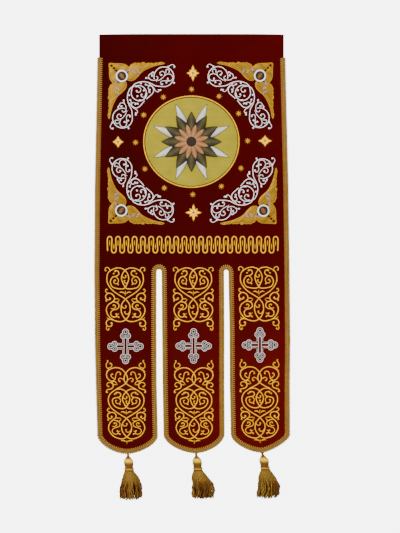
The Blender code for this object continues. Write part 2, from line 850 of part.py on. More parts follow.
def make_scroll(corner):
    """The silver scroll band between a corner ornament and the medallion."""
    half = math.sqrt(0.5)
    along = Vector((corner.across, -corner.down)) * half
    inwards = Vector((corner.across, corner.down)) * half
    middle = Vector((corner.x, corner.drop)) + Vector((corner.across, corner.down)) * SCROLL_OFFSET

    def seated(line):
        return [middle + along * point[0] + inwards * point[1] for point in line]

    loop = arc((SCROLL_LOOP_CENTRE, 0.0), SCROLL_LOOP_RADIUS, SCROLL_LOOP_FROM, SCROLL_LOOP_TO, CORD_STEP)
    strand = loop[:-1] + smooth_line([loop[-1], *SCROLL_STRAND], CORD_STEP)
    lower = smooth_line(SCROLL_LOWER_ARC, CORD_STEP)
    shapes = []
    for line in (strand, lower):
        for twin in mirrored(line):
            shapes += ribbon(seated(twin), CORD_WIDTH)
    cut_out(f"silver_scroll_{corner.name}", shapes, LAYER_1_BACK, LAYER_1_FRONT, SILVER_CORD)


def make_panel(name, strands, x_top, x_bottom, drop, length):
    """A gold scroll panel, the same on both sides of its slightly leaning middle line."""
    shapes = []
    for knots in strands:
        for twin in mirrored(smooth_line(knots, CORD_STEP)):
            line = []
            for side, down in twin:
                middle = x_top + (x_bottom - x_top) * down / length
                line.append(Vector((middle + side, drop + down)))
            shapes += ribbon(line, CORD_WIDTH)
    cut_out(name, shapes, LAYER_1_BACK, LAYER_1_FRONT, GOLD_CORD)


def make_cross(name, x, drop):
    """A silver cross with three round buds on each arm."""
    half_bar = CROSS_BAR / 2
    shapes = []
    for half, turned in ((CROSS_WIDE / 2, False), (CROSS_HIGH / 2, True)):
        end = half - END_BUD
        for sign in (-1, 1):
            back = end - SIDE_BUD_BACK
            buds = ((end, 0.0, END_BUD), (back, SIDE_BUD_OUT, SIDE_BUD), (back, -SIDE_BUD_OUT, SIDE_BUD))
            for reach, aside, radius in buds:
                spot = (aside, sign * reach) if turned else (sign * reach, aside)
                shapes.append(disc(x + spot[0], drop + spot[1], radius, BUD_SEGMENTS))
        corners = [(-end, -half_bar), (end, -half_bar), (end, half_bar), (-end, half_bar)]
        if turned:
            corners = [(down, side) for side, down in corners]
        shapes.append([(x + side, drop + down) for side, down in corners])
    cut_out(name, shapes, LAYER_1_BACK, LAYER_1_FRONT, SILVER_CORD)


def make_tail_trim():
    """The upper panel, cross and lower panel of each tail."""
    for panel in PANELS:
        middle = (panel.x_top + panel.x_bottom) / 2
        upper = (UPPER_HEART, UPPER_LOOP, UPPER_FOOT)
        lower = (LOWER_HEART, LOWER_RING, LOWER_LOOP, LOWER_HORN)
        make_panel(f"upper_panel_{panel.tail}", upper, panel.x_top, middle, panel.upper_drop, 166.0)
        make_cross(f"cross_{panel.tail}", panel.cross_x, panel.cross_drop)
        make_panel(f"lower_panel_{panel.tail}", lower, middle, panel.x_bottom, panel.lower_drop, 210.0)


def make_frieze():
    """The cord that runs up and down in a row of narrow arches above the tails."""
    pitch = (FRIEZE_RIGHT - FRIEZE_LEFT) / (FRIEZE_UPRIGHTS - 1)
    radius = pitch / 2
    line = []
    for index in range(FRIEZE_UPRIGHTS):
        x = FRIEZE_LEFT + pitch * index
        rising = index % 2 == 0
        start, end = (FRIEZE_BOTTOM, FRIEZE_TOP) if rising else (FRIEZE_TOP, FRIEZE_BOTTOM)
        line.append(Vector((x, start)))
        line.append(Vector((x, end)))
        if index < FRIEZE_UPRIGHTS - 1:
            lift = -0.8 * radius if rising else 0.8 * radius
            line.append(Vector((x + radius, end + lift)))
    cut_out("frieze", ribbon(line, CORD_WIDTH * 0.9), LAYER_1_BACK, LAYER_1_FRONT, GOLD_CORD)


def make_ornament(ornament):
    """A small gold flower of four long leaves and four short ones."""
    centre = Vector((ornament.x, ornament.drop))
    shapes = []
    for index in range(8):
        turn = math.pi * index / 4
        reach = math.hypot(ornament.wide * math.cos(turn), ornament.high * math.sin(turn)) / 2
        reach *= SHORT_LEAF_SHARE if index % 2 else 1.0
        shapes.append(petal(centre, turn, 0.0, reach, LEAF_HALF_WIDTH))
    cut_out(f"ornament_{ornament.name}", shapes, LAYER_1_BACK, LAYER_1_FRONT, GOLD_CORD)


def make_tassel(tassel):
    """A tassel: hanging cord, head, collar and netted top in one turned body, and its free strands."""
    chance = random.Random(tassel.seed)
    hang_y = swell(tassel.x, tassel.drop - 2.0)
    total = TASSEL_OUTLINE[-1].down
    shape = bmesh.new()
    rings = []
    for ring in TASSEL_OUTLINE:
        part = ring.down / total
        lean = 0.35 * part * part
        spread = 1 - (1 - tassel.spread) * eased((ring.down - 46.0) / 24.0)
        round_share = 1 - (1 - TASSEL_DEPTH) * eased((ring.down - 46.0) / 24.0)
        row = []
        for index in range(TASSEL_SEGMENTS):
            turn = 2 * math.pi * index / TASSEL_SEGMENTS
            x = tassel.x + lean * tassel.lean_x + ring.radius * spread * math.cos(turn)
            y = hang_y + lean * tassel.lean_y + ring.radius * round_share * math.sin(turn)
            row.append(shape.verts.new((x * MM, y * MM, -(tassel.drop + ring.down) * MM)))
        rings.append(row)
    for upper, lower in zip(rings, rings[1:]):
        for index in range(TASSEL_SEGMENTS):
            after = (index + 1) % TASSEL_SEGMENTS
            shape.faces.new((upper[index], upper[after], lower[after], lower[index]))
    shape.faces.new(rings[0][::-1])
    base = shape.faces.new(rings[-1])
    roots = []
    for inset in (0.30, 0.40):
        width = TASSEL_OUTLINE[-1].radius * inset * MM
        made = bmesh.ops.inset_region(shape, faces=[base], thickness=width, use_even_offset=True)
        roots.append(made["faces"])
    roots.append([])
    for level, (faces, length) in enumerate(zip(roots, STRAND_LENGTHS)):
        for face in faces:
            grow_strand(shape, face, tassel, level, length, chance)
    bmesh.ops.recalc_face_normals(shape, faces=shape.faces)
    mesh = bpy.data.meshes.new(f"tassel_{tassel.name}")
    shape.to_mesh(mesh)
    shape.free()
    add_object(f"tassel_{tassel.name}", mesh, TASSEL_GOLD, math.radians(50))


def grow_strand(shape, face, tassel, level, length, chance):
    """One free strand, drawn down from a face of the skirt's base in short steps."""
    bmesh.ops.inset_individual(shape, faces=[face], thickness=0.55 * MM, use_even_offset=True)
    middle = face.calc_center_median()
    axis_x = (tassel.x + 0.35 * tassel.lean_x) * MM
    out = Vector((middle.x - axis_x, middle.y - swell(tassel.x, tassel.drop) * MM, 0.0))
    flare = 0.30 * tassel.spread + 0.06 * chance.uniform(-1, 1)
    side = Vector((chance.uniform(-1.2, 1.2), chance.uniform(-1.2, 1.2), 0.0)) * MM
    lean = Vector((tassel.lean_x, tassel.lean_y, 0.0)) * 0.65 * MM
    drop = (length + chance.uniform(-5.0, 3.0)) * MM
    tip = face
    for step in range(STRAND_STEPS):
        part = (step + 1) / STRAND_STEPS
        before = step / STRAND_STEPS
        made = bmesh.ops.extrude_discrete_faces(shape, faces=[tip])
        tip = made["faces"][0]
        share = math.sin(part * math.pi / 2) - math.sin(before * math.pi / 2)
        move = out * flare * share + side * (part - before) + lean * (part ** 2 - before ** 2)
        move.z -= drop / STRAND_STEPS
        bmesh.ops.translate(shape, verts=tip.verts, vec=move)
        narrow = 0.93 if step < STRAND_STEPS - 1 else 0.62
        centre = tip.calc_center_median()
        for vert in tip.verts:
            vert.co = centre + (vert.co - centre) * narrow


def main():
    """Make every piece of the banner."""
    remove_scene_objects()
    edge = cut_edge()
    make_cloth(edge)
    make_sleeve()
    make_braid(edge)
    make_medallion()
    make_rosette()
    make_stars()
    for corner in CORNERS:
        make_corner(corner)
        make_scroll(corner)
    make_tail_trim()
    make_frieze()
    for ornament in ORNAMENTS:
        make_ornament(ornament)
    for tassel in TASSELS:
        make_tassel(tassel)


main()
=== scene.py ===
"""The looks of a velvet church banner with three tails, laid out as an add-on and run as a script.

Every piece is first laid out flat on the table in metres: X to the right, Y up the banner (so a
drop below its top edge is a minus Y) and Z towards the viewer. hang() then stands the piece up
and lets it follow the soft folds of the hanging cloth, whose front faces -Y. Tables and names
below are in millimetres.
"""

import math
import random
from collections import namedtuple

import bpy
import numpy as np
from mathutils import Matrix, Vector
from mathutils.geometry import delaunay_2d_cdt


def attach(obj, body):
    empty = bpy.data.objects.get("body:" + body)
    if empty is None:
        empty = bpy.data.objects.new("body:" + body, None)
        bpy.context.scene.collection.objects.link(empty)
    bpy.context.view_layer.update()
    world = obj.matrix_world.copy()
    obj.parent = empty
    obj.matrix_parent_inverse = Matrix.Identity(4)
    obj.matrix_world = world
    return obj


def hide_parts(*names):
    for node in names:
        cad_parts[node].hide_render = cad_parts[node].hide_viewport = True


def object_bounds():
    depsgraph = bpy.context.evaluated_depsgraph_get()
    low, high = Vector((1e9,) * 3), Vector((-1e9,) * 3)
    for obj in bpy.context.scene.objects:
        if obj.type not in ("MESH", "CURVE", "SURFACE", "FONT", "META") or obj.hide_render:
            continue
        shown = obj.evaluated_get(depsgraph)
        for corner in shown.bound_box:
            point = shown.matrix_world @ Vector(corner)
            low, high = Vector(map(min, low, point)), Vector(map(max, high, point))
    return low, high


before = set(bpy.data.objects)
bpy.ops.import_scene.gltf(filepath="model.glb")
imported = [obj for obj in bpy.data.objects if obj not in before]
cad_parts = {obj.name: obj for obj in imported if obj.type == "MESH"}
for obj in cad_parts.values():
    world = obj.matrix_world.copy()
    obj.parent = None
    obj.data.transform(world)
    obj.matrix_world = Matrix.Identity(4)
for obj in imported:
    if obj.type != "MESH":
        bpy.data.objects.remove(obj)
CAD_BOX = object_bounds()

bl_info = {
    "name": "Church Banner",
    "version": (1, 0, 0),
    "blender": (4, 5, 0),
    "location": "3D Viewport > Sidebar > Banner",
    "description": "Dresses a hanging velvet banner with braid, embroidery and tassels",
    "category": "Object",
}

MM = 0.001

# The cloth, as its solid is cut.
SEAM_DROP = 61.0
SLOT_DROP = 611.0
TAIL_END_DROP = 1089.0
SEAM_GAP = 0.3
Side = namedtuple("Side", "drop left right")
SIDES = (
    Side(62, -244.4, 241.3),
    Side(182, -246.7, 244.1),
    Side(400, -251.2, 249.6),
    Side(618, -252.7, 252.5),
    Side(800, -251.0, 254.2),
    Side(910, -248.3, 252.9),
    Side(1040, -244.4, 253.0),
)
Cut = namedtuple("Cut", "drop first_left first_right second_left second_right")
CUTS = (
    Cut(618, -92.8, -78.3, 82.7, 95.1),
    Cut(764, -93.1, -77.2, 83.7, 98.0),
    Cut(910, -92.3, -75.7, 83.4, 98.8),
    Cut(1040, -89.4, -73.6, 84.3, 101.4),
)
TAIL_COLUMNS = "name left_corner right_corner low_x low_drop round_left round_right sway twist bow"
Tail = namedtuple("Tail", TAIL_COLUMNS)
TAILS = (
    Tail("left", 1041, 1045, -169.0, 1089.4, 1.72, 1.70, 3.0, -3.5, 2.5),
    Tail("middle", 1042, 1040, 8.6, 1089.4, 1.70, 1.70, -2.5, 3.0, -2.0),
    Tail("right", 1040, 1042, 182.0, 1086.3, 1.70, 1.35, 4.5, 2.5, 3.0),
)
Fold = namedtuple("Fold", "depth pitch crest lean start")
FOLDS = (
    Fold(2.6, 340.0, -70.0, 0.07, 90.0),
    Fold(1.3, 215.0, 35.0, -0.05, 260.0),
)
FOLD_RISE = 420.0
# Low ripples of the velvet between its seams, which no solid needs: depth, run across and down.
Ripple = namedtuple("Ripple", "depth across down shift")
RIPPLES = (
    Ripple(0.32, 91.0, 260.0, 0.4),
    Ripple(0.22, -63.0, 148.0, 2.1),
    Ripple(0.16, 47.0, 83.0, 4.4),
)

SLEEVE_LEFT = -241.8
SLEEVE_RIGHT = 239.0
SLEEVE_BACK_DROP = 42.0
SLEEVE_CORNER_DIP = 1.6
SLEEVE_RISE = 2.0

# Where the layers lie in front of the cloth's middle. The cloth's own face is at FACE.
FACE = 1.2
SUNK = 1.05
LAYER_2 = 3.5
LAYER_3 = 5.0
LAYER_4 = 6.6
LAYER_5 = 8.1

MEDALLION_X = -1.6
MEDALLION_DROP = 279.8
MEDALLION_WIDE = 251.6
MEDALLION_HIGH = 241.0
RIM_WIDTH = 4.4

Spot = namedtuple("Spot", "x drop")
STARS = (
    Spot(-1.0, 143.3),
    Spot(70.5, 161.5),
    Spot(121.2, 206.2),
    Spot(144.6, 277.4),
    Spot(127.4, 348.4),
    Spot(76.4, 395.7),
    Spot(2.1, 416.8),
    Spot(-72.0, 399.9),
    Spot(-122.5, 350.5),
    Spot(-146.6, 281.6),
    Spot(-125.6, 210.3),
    Spot(-74.4, 163.8),
)
Corner = namedtuple("Corner", "name x drop across down")
CORNERS = (
    Corner("upper_left", -215.3, 76.2, 1, 1),
    Corner("upper_right", 209.8, 75.4, -1, 1),
    Corner("lower_left", -216.6, 491.6, 1, -1),
    Corner("lower_right", 218.4, 492.2, -1, -1),
)
SCROLL_OFFSET = 88.5
ROUNDEL_OFFSET = 33.0
RING_RADIUS = 13.9
RING_THICK = 2.0
# A panel's middle line runs from one X to the other, on its upper and on its lower level.
Panel = namedtuple("Panel", "tail upper_x upper_drop lower_x lower_drop cross_x cross_drop")
PANELS = (
    Panel("left", (-174.1, -171.2), 605.5, (-172.8, -168.7), 843.7, -172.6, 811.5),
    Panel("middle", (3.4, 3.7), 605.5, (4.4, 6.2), 844.5, 4.2, 810.7),
    Panel("right", (172.6, 175.2), 603.5, (175.2, 177.2), 841.5, 176.5, 807.8),
)
UPPER_LENGTH = 163.0
LOWER_LENGTH = 222.0
Ornament = namedtuple("Ornament", "name x drop wide high")
ORNAMENTS = (
    Ornament("top", 2.6, 101.5, 36.0, 45.0),
    Ornament("bottom", 4.0, 464.0, 46.0, 48.0),
    Ornament("left", -192.0, 280.5, 31.0, 32.0),
    Ornament("right", 190.0, 277.5, 38.0, 32.0),
)
FRIEZE_LEFT = -219.0
FRIEZE_RIGHT = 223.0
FRIEZE_TOP = 525.5
FRIEZE_BOTTOM = 569.5
FRIEZE_UPRIGHTS = 42
# How far a tassel's middle line stands to the side at each of these distances down its hang.
LINE_DOWNS = (0.0, 16.0, 36.0, 48.0, 62.0, 80.0, 95.0, 118.0)
Tassel = namedtuple("Tassel", "name x drop line lean_y seed")
TASSELS = (
    Tassel("left", -166.2, 1089.4, (0.0, 0.8, 2.6, 3.4, 7.0, 8.2, 7.6, 7.2), -3.0, 5),
    Tassel("middle", 10.2, 1089.4, (0.0, 2.6, 4.4, 6.0, 9.8, 18.0, 18.8, 16.5), 2.0, 8),
    Tassel("right", 181.8, 1086.4, (0.0, 4.6, 7.2, 9.8, 12.4, 17.0, 18.6, 13.0), 4.0, 21),
)

# Couched cords, as the half to the right of a piece's middle line: how far to the side and how far
# down, through the cord's middle. A cord ends in a ball, a point or a plain round end.
Cord = namedtuple("Cord", "tip width knots")
MAIN = 3.8
FINE = 2.9
SILVER_SHARE = 0.60
UPPER_CORDS = (
    Cord("ball", MAIN, ((0, 83), (31, 62.5), (44.6, 45), (47.5, 29.6), (42, 12.5), (20, 2.3), (0, 8.6),
        (-9.4, 29), (0, 52.5), (11, 56.8), (31.9, 52.5), (38.6, 39), (32.8, 26.7), (22, 23.5),
        (16.4, 18.5), (17.6, 11.4), (23.6, 9.4), (27.4, 13.2))),
    Cord("ball", MAIN, ((0, 83), (-10.4, 98), (-10.6, 119), (0, 136.4), (15.6, 141.8), (34.7, 136.4),
        (47.1, 123), (50, 109.7), (45.2, 98.3), (34.3, 90.6), (28.6, 84), (30, 75.4), (36.6, 69.3),
        (44.3, 68.1), (50.6, 73.1), (51.3, 80.1), (46.6, 85), (40.4, 83.4), (40.6, 78.2))),
    Cord("ball", FINE, ((38.5, 13.4), (40.6, 5), (45.8, 0.8), (51, 3.2), (51.6, 8.8), (47.4, 9.2))),
    Cord("ball", FINE, ((27, 16), (32.2, 17.9))),
    Cord("ball", FINE, ((25.2, 25.2), (18.8, 30.3), (17.3, 36.3), (20.4, 42), (26, 43.4), (30.2, 38.8),
        (27.6, 33.6), (24.2, 36.6))),
    Cord("ball", FINE, ((20.4, 42), (17.2, 47.1))),
    Cord("ball", FINE, ((43.6, 68.3), (49, 66), (51.8, 61.6), (49.4, 57.8), (46.2, 60))),
    Cord("ball", FINE, ((50, 82.5), (50.6, 86), (48.6, 90.4))),
    Cord("point", FINE, ((30, 83.6), (22, 82.4), (15.2, 84.2))),
    Cord("point", FINE, ((27, 91), (21, 91), (15.2, 84.2))),
    Cord("ball", MAIN, ((34.3, 90.4), (26, 91), (18.6, 96), (17.8, 104), (23.6, 109.6), (31.9, 111.2),
        (38, 116.6), (38.4, 124), (33.6, 129.4), (26.2, 129.4), (22.8, 124.4), (26.8, 120.4))),
    Cord("ball", FINE, ((39.5, 107), (33, 108.8), (27.8, 106), (26.3, 100.9), (30, 98), (33.4, 101.6))),
    Cord("ball", FINE, ((26.2, 129.4), (20.6, 128.8), (16.6, 132))),
    Cord("point", FINE, ((24, 125), (19, 122.4), (17.6, 119))),
    Cord("ball", MAIN, ((32, 137.6), (40.4, 135.7), (48, 138.3), (51.2, 145), (49, 152.2), (43, 154.4),
        (37, 152), (36.6, 146), (41, 145.2))),
    Cord("ball", FINE, ((48.6, 151.6), (50.6, 156.4), (50.8, 161), (47.6, 164.2), (44.6, 161.8), (46.6, 159))),
    Cord("point", FINE, ((41, 135.7), (46, 134.5), (49.6, 129.4))),
    Cord("leaf", 5.4, ((0, 60.4), (0, 75.6))),
    Cord("leaf", 4.2, ((0.6, 71.4), (4.6, 67), (9.6, 64.8), (16, 66.2))),
)
UPPER_LENS = (
    Cord("ball", FINE, ((-7.8, 22.5), (-4.6, 27.6), (0.6, 27.6), (2.6, 23.6), (-1, 21.6))),
    Cord("ball", FINE, ((7.8, 39.4), (3.8, 42), (-1.2, 40.8), (-2.6, 36.4), (1, 35))),
    Cord("ball", FINE, ((-9.6, 100.2), (-6.6, 106), (-1, 106.4), (1.8, 102), (-2, 99.6))),
    Cord("ball", FINE, ((10, 115.4), (7, 121.4), (1.2, 122.4), (-2.8, 118.6), (0, 115))),
)
LOWER_CORDS = (
    Cord("ball", MAIN, ((0, 154.2), (26.3, 138), (41.4, 124), (46.4, 106.7), (41.4, 91.6), (26, 79.5),
        (0, 63.6), (-3.8, 46), (9, 28), (27, 23), (44.6, 30.2), (50, 42), (45.7, 52.8), (37.1, 59.3),
        (33.6, 67), (34, 74.6), (41, 79), (48.6, 80.6), (50.4, 86), (46.4, 87.6))),
    Cord("ball", MAIN, ((28, 80), (13.4, 78.7), (0, 86), (-9.6, 104), (0, 125), (13.4, 129.4), (28.5, 124),
        (35.6, 113), (34, 104), (26, 100.8), (17.4, 99.4), (13.6, 94), (16.8, 88.4), (23.6, 87.4),
        (27.4, 91.6))),
    Cord("ball", MAIN, ((0, 154.2), (-11.6, 170), (-11.4, 188), (0, 202.7), (14, 208), (34.9, 200.5),
        (46.5, 183), (43.6, 167.6), (34.6, 158.4), (27.4, 151.6), (28.8, 142.4), (38, 139.2), (47.4, 142.8),
        (48.6, 151), (43.2, 155.6), (38, 152), (39.6, 147.4))),
    Cord("ball", FINE, ((43, 29), (50, 20.6), (49.4, 12.4), (45.4, 7.6), (48.4, 3.4))),
    Cord("ball", FINE, ((47, 24.6), (39.6, 22.8), (35.4, 17.4), (38, 12), (42.2, 13.6))),
    Cord("point", FINE, ((40, 28.6), (46, 30.4), (52, 33.6))),
    Cord("ball", FINE, ((34, 66.4), (39, 62.2), (46, 62.2), (49.6, 67.4), (46.6, 72.4), (43, 70.2))),
    Cord("point", FINE, ((36, 59.8), (29, 58.8), (21.4, 67))),
    Cord("point", FINE, ((33.6, 66), (28, 67.4), (21.4, 67))),
    Cord("ball", FINE, ((37.4, 58.6), (29, 54.6), (26.4, 46), (24.4, 38), (18.4, 34), (13, 38), (15.6, 42.4))),
    Cord("ball", FINE, ((27.8, 52), (34, 49.8), (38.2, 45), (36.4, 39.8), (32.2, 41))),
    Cord("ball", FINE, ((1.6, 58.6), (8, 53), (14.4, 50.2), (19.2, 54), (17, 58.8), (13.6, 56.8))),
    Cord("ball", FINE, ((27, 91.4), (32.6, 92.6))),
    Cord("ball", FINE, ((21.5, 100.4), (15.6, 104.6), (14.6, 111), (19, 116.4), (25.6, 115), (27.6, 109.4),
        (23.4, 107.6))),
    Cord("ball", FINE, ((18, 116), (14.5, 120))),
    Cord("ball", FINE, ((40, 139.4), (46.6, 137.2), (49.4, 132.8), (46.6, 128.9), (43.4, 131))),
    Cord("ball", FINE, ((47.6, 153.6), (48, 157.6), (46.2, 161.4))),
    Cord("point", FINE, ((27.6, 154.2), (20, 153.6), (13.2, 155.2))),
    Cord("point", FINE, ((26, 162), (20, 162.6), (13.2, 155.2))),
    Cord("ball", FINE, ((34, 159.8), (24, 161), (17.2, 167.4), (19, 175), (27, 178.4), (35.4, 182),
        (37.6, 189), (32, 195.2), (24, 194.6), (22.6, 188.4), (27, 186.8))),
    Cord("ball", FINE, ((37.7, 174.8), (31.6, 175.8), (26, 172.6), (26.2, 167.4), (31, 166.4), (32.6, 170.4))),
    Cord("ball", FINE, ((24, 194.6), (19.6, 194.2), (16, 197.3))),
    Cord("point", FINE, ((23, 190), (19, 188.4), (17.6, 185))),
    Cord("leaf", 5.4, ((0, 133), (0, 147))),
    Cord("leaf", 4.2, ((0.6, 143.4), (4.6, 139.6), (9, 137.4), (15.4, 138.4))),
    Cord("leaf", 5.2, ((0, 209.6), (0, 222))),
    Cord("leaf", 4.2, ((0.6, 216.4), (5, 213.6), (10, 212.2), (16.4, 213.2))),
)
LOWER_LENS = (
    Cord("ball", FINE, ((-8.6, 98), (-5.8, 103), (-0.6, 103.8), (2.6, 100), (-0.6, 97.4))),
    Cord("ball", FINE, ((9.2, 113), (6, 116.6), (0.8, 115.6), (-0.4, 110.6), (3.2, 109.4))),
    Cord("ball", FINE, ((-10.6, 168.2), (-7.6, 173.8), (-1.4, 174.4), (1.6, 170), (-2, 167.4))),
    Cord("ball", FINE, ((10.8, 183.3), (7.8, 189.6), (1.2, 190.4), (-2.8, 186.2), (0.4, 182.6))),
)
# The scroll band on its own axes: along the band, and towards the medallion. Each is mirrored.
SCROLL_LOOP_CENTRE = 76.0
SCROLL_LOOP_RADIUS = 25.7
SCROLL_LOOP_FROM = -150.0
SCROLL_LOOP_TO = 130.0
SCROLL_STRAND = ((45, 2.6), (37.5, -17.4), (25.5, -32.2), (7, -40.3), (-7, -35), (-17, -26), (-19, -12.2),
    (-11, 1.6), (4.7, 4.2), (13, -4))
SCROLL_CORDS = (
    Cord("round", MAIN, ((36, -16), (35.5, 1), (26, 9.5), (3, 8.6))),
    Cord("ball", FINE, ((58, -3.4), (66, -1.2), (77.6, -0.6), (84.6, -5.4), (83.4, -13), (76, -14.6), (73, -9),
        (77, -6.6))),
    Cord("ball", FINE, ((79.6, -1), (89, 2.6), (93.4, 11.6), (88.4, 19.6), (80, 19), (77.6, 12.6), (82, 9.8))),
    Cord("ball", FINE, ((78.6, 18.6), (72.1, 11), (65.2, 4.4), (58.8, 5), (57.4, 10.2), (61.6, 11))),
    Cord("ball", FINE, ((74, 13), (68, 16.6))),
    Cord("point", FINE, ((86, -2.6), (94, -9), (97.6, -1), (90, 2.4))),
    Cord("ball", FINE, ((100, -9.6), (108, -9.6), (114.6, -6.4), (115.2, 0.6), (110.2, 1.4))),
    Cord("ball", FINE, ((101, -8.4), (104, -12.6))),
    Cord("ball", FINE, ((82, 25), (84.3, 32.4))),
    Cord("ball", FINE, ((60.5, -7), (53, -9.6), (46.6, -18.6), (47.6, -28.4), (55.4, -31), (58.4, -25),
        (53.6, -22.6))),
    Cord("ball", FINE, ((46.6, -21.6), (43, -28), (39.4, -32.4))),
    Cord("ball", FINE, ((57, -30), (62, -29.4), (66, -25.6))),
    Cord("point", FINE, ((62.6, -16), (63.4, -9.4), (52.4, -3.6))),
    Cord("ball", FINE, ((35.6, 3), (37.4, -4), (33.4, -9.4), (27, -8.6), (24.8, -3), (28.6, -1))),
    Cord("ball", FINE, ((31.6, -9.6), (29.6, -16), (27, -21.4))),
    Cord("ball", FINE, ((25, -4), (21.6, 1), (22.3, 4.4))),
    Cord("ball", FINE, ((37.6, 1.6), (34.8, 9.5), (36.4, 16), (41.4, 17), (43, 12.8))),
    Cord("ball", FINE, ((40, 16.8), (48, 19))),
    Cord("ball", FINE, ((21, -33.6), (22.3, -27.4))),
)
SCROLL_MIDDLE = (
    Cord("ball", FINE, ((5, -34), (11, -28), (10.6, -19.4), (3.6, -16.4), (-1.6, -21.6), (2.4, -25.2))),
    Cord("ball", FINE, ((11.6, -2), (4.6, 1.4), (-0.8, -2), (-0.2, -8), (5, -7.6))),
    Cord("ball", FINE, ((-11.5, -12), (-5.4, -13.6))),
    Cord("ball", FINE, ((17, -12), (11.5, -11))),
)


# Placing on the hanging cloth.


def between(rows, column, drop):
    """A column of a table at any drops, straight between its rows."""
    return np.interp(drop, [row.drop for row in rows], [getattr(row, column) for row in rows])


def eased(value):
    """0 to 1 with a soft start and end."""
    value = np.clip(value, 0.0, 1.0)
    return value * value * (3.0 - 2.0 * value)


def swell(x, drop):
    """How far the cloth's middle stands behind the flat, in millimetres, for arrays of places."""
    depth = np.zeros(np.shape(x))
    for fold in FOLDS:
        turn = (x - fold.crest - fold.lean * drop) / fold.pitch
        depth += eased((drop - fold.start) / FOLD_RISE) * fold.depth * np.cos(2 * np.pi * turn)
    low = np.minimum(drop, SIDES[-1].drop)
    first = (between(CUTS, "first_left", drop) + between(CUTS, "first_right", drop)) / 2
    second = (between(CUTS, "second_left", drop) + between(CUTS, "second_right", drop)) / 2
    index = (x > first).astype(int) + (x > second)
    left = np.choose(index, [between(SIDES, "left", low), between(CUTS, "first_right", low),
        between(CUTS, "second_right", low)])
    right = np.choose(index, [between(CUTS, "first_left", low), between(CUTS, "second_left", low),
        between(SIDES, "right", low)])
    across = (2 * x - left - right) / (right - left)
    fall = np.clip((drop - SLOT_DROP) / (TAIL_END_DROP - SLOT_DROP), 0.0, None)
    sway, twist, bow = (np.choose(index, [getattr(t, part) for t in TAILS]) for part in ("sway", "twist", "bow"))
    depth += (-sway - twist * across + bow * (1 - across * across)) * fall * fall
    started = eased((drop - SEAM_DROP) / FOLD_RISE)
    for ripple in RIPPLES:
        wave = np.sin(2 * np.pi * (x / ripple.across + drop / ripple.down) + ripple.shift)
        depth += started * ripple.depth * wave
    return depth


def corners_of(mesh):
    """A mesh's corners as an array of rows."""
    flat = np.empty(len(mesh.vertices) * 3)
    mesh.vertices.foreach_get("co", flat)
    return flat.reshape(-1, 3)


def hang(item):
    """Stand a piece up off the table and let it follow the hanging cloth."""
    across, up, forward = corners_of(item.data).T
    behind = swell(across / MM, -up / MM) * MM - forward
    item.data.vertices.foreach_set("co", np.column_stack((across, behind, up)).ravel())
    item.data.update()


def keep(item, node, slot, material, smooth=40.0):
    """Finish a piece: its material, its smooth faces, its node and its body."""
    item.data.materials.clear()
    item.data.materials.append(material)
    outwards(item)
    bpy.ops.object.shade_smooth_by_angle(angle=math.radians(smooth))
    if node:
        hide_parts(node)
    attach(item, "root")
    return item


# Selecting and joining, as by hand.


def select_only(*items):
    """Select these objects and no others, the last one active."""
    if bpy.context.object and bpy.context.object.mode != "OBJECT":
        bpy.ops.object.mode_set(mode="OBJECT")
    bpy.ops.object.select_all(action="DESELECT")
    for item in items:
        item.select_set(True)
        bpy.context.view_layer.objects.active = item


def joined(name, items):
    """Join objects into one with a name."""
    select_only(*items)
    if len(items) > 1:
        bpy.ops.object.join()
    item = bpy.context.object
    item.name = name
    item.data.name = name
    return item


def apply_place(item):
    """Put an object's place into its mesh."""
    select_only(item)
    bpy.ops.object.transform_apply(location=True, rotation=True, scale=True)


def object_from(name, corners, faces, lay=None):
    """An object from corners in millimetres, with the threads' lay kept on each corner."""
    mesh = bpy.data.meshes.new(name)
    mesh.from_pydata((np.asarray(corners) * MM).tolist(), [], faces)
    mesh.update()
    if lay is not None:
        kept = mesh.attributes.new("lay", "FLOAT_VECTOR", "POINT")
        kept.data.foreach_set("vector", np.asarray(lay, float).ravel())
    item = bpy.data.objects.new(name, mesh)
    bpy.context.scene.collection.objects.link(item)
    return item


# Lines and outlines in the flat layout, as arrays of (x, drop).


def smooth_line(knots, step, closed=False):
    """A soft line through its knots, with points about step apart."""
    knots = [np.array(knot, float) for knot in knots]
    if closed:
        run = [knots[-1], *knots, knots[0], knots[1]]
    else:
        run = [knots[0] * 2 - knots[1], *knots, knots[-1] * 2 - knots[-2]]
    line = []
    for a, b, c, d in zip(run, run[1:], run[2:], run[3:]):
        pieces = max(1, round(np.linalg.norm(c - b) / step))
        t = (np.arange(pieces) / pieces)[:, None]
        bend = (2 * a - 5 * b + 4 * c - d) * t * t + (3 * b - a - 3 * c + d) * t**3
        line.append(0.5 * (2 * b + (c - a) * t + bend))
    if not closed:
        line.append(knots[-1][None, :])
    return np.vstack(line)


def evenly(line, step):
    """The same line with points the same distance apart."""
    line = np.asarray(line, float)
    lengths = np.concatenate(([0.0], np.cumsum(np.linalg.norm(np.diff(line, axis=0), axis=1))))
    count = max(2, int(round(lengths[-1] / step)) + 1)
    places = np.linspace(0.0, lengths[-1], count)
    return np.column_stack([np.interp(places, lengths, line[:, axis]) for axis in (0, 1)])


def arc(centre, radius, start, end, step):
    """Points on part of a circle, with its angles in degrees."""
    pieces = max(2, round(abs(end - start) * math.pi / 180 * radius / step))
    turns = np.radians(np.linspace(start, end, pieces + 1))
    return np.column_stack((centre[0] + radius * np.cos(turns), centre[1] + radius * np.sin(turns)))


def sideways(line):
    """The direction across a line at each of its points."""
    ahead = np.vstack((line[1:], line[-1:]))
    behind = np.vstack((line[:1], line[:-1]))
    along = ahead - behind
    along /= np.maximum(np.linalg.norm(along, axis=1), 1e-9)[:, None]
    return np.column_stack((along[:, 1], -along[:, 0]))


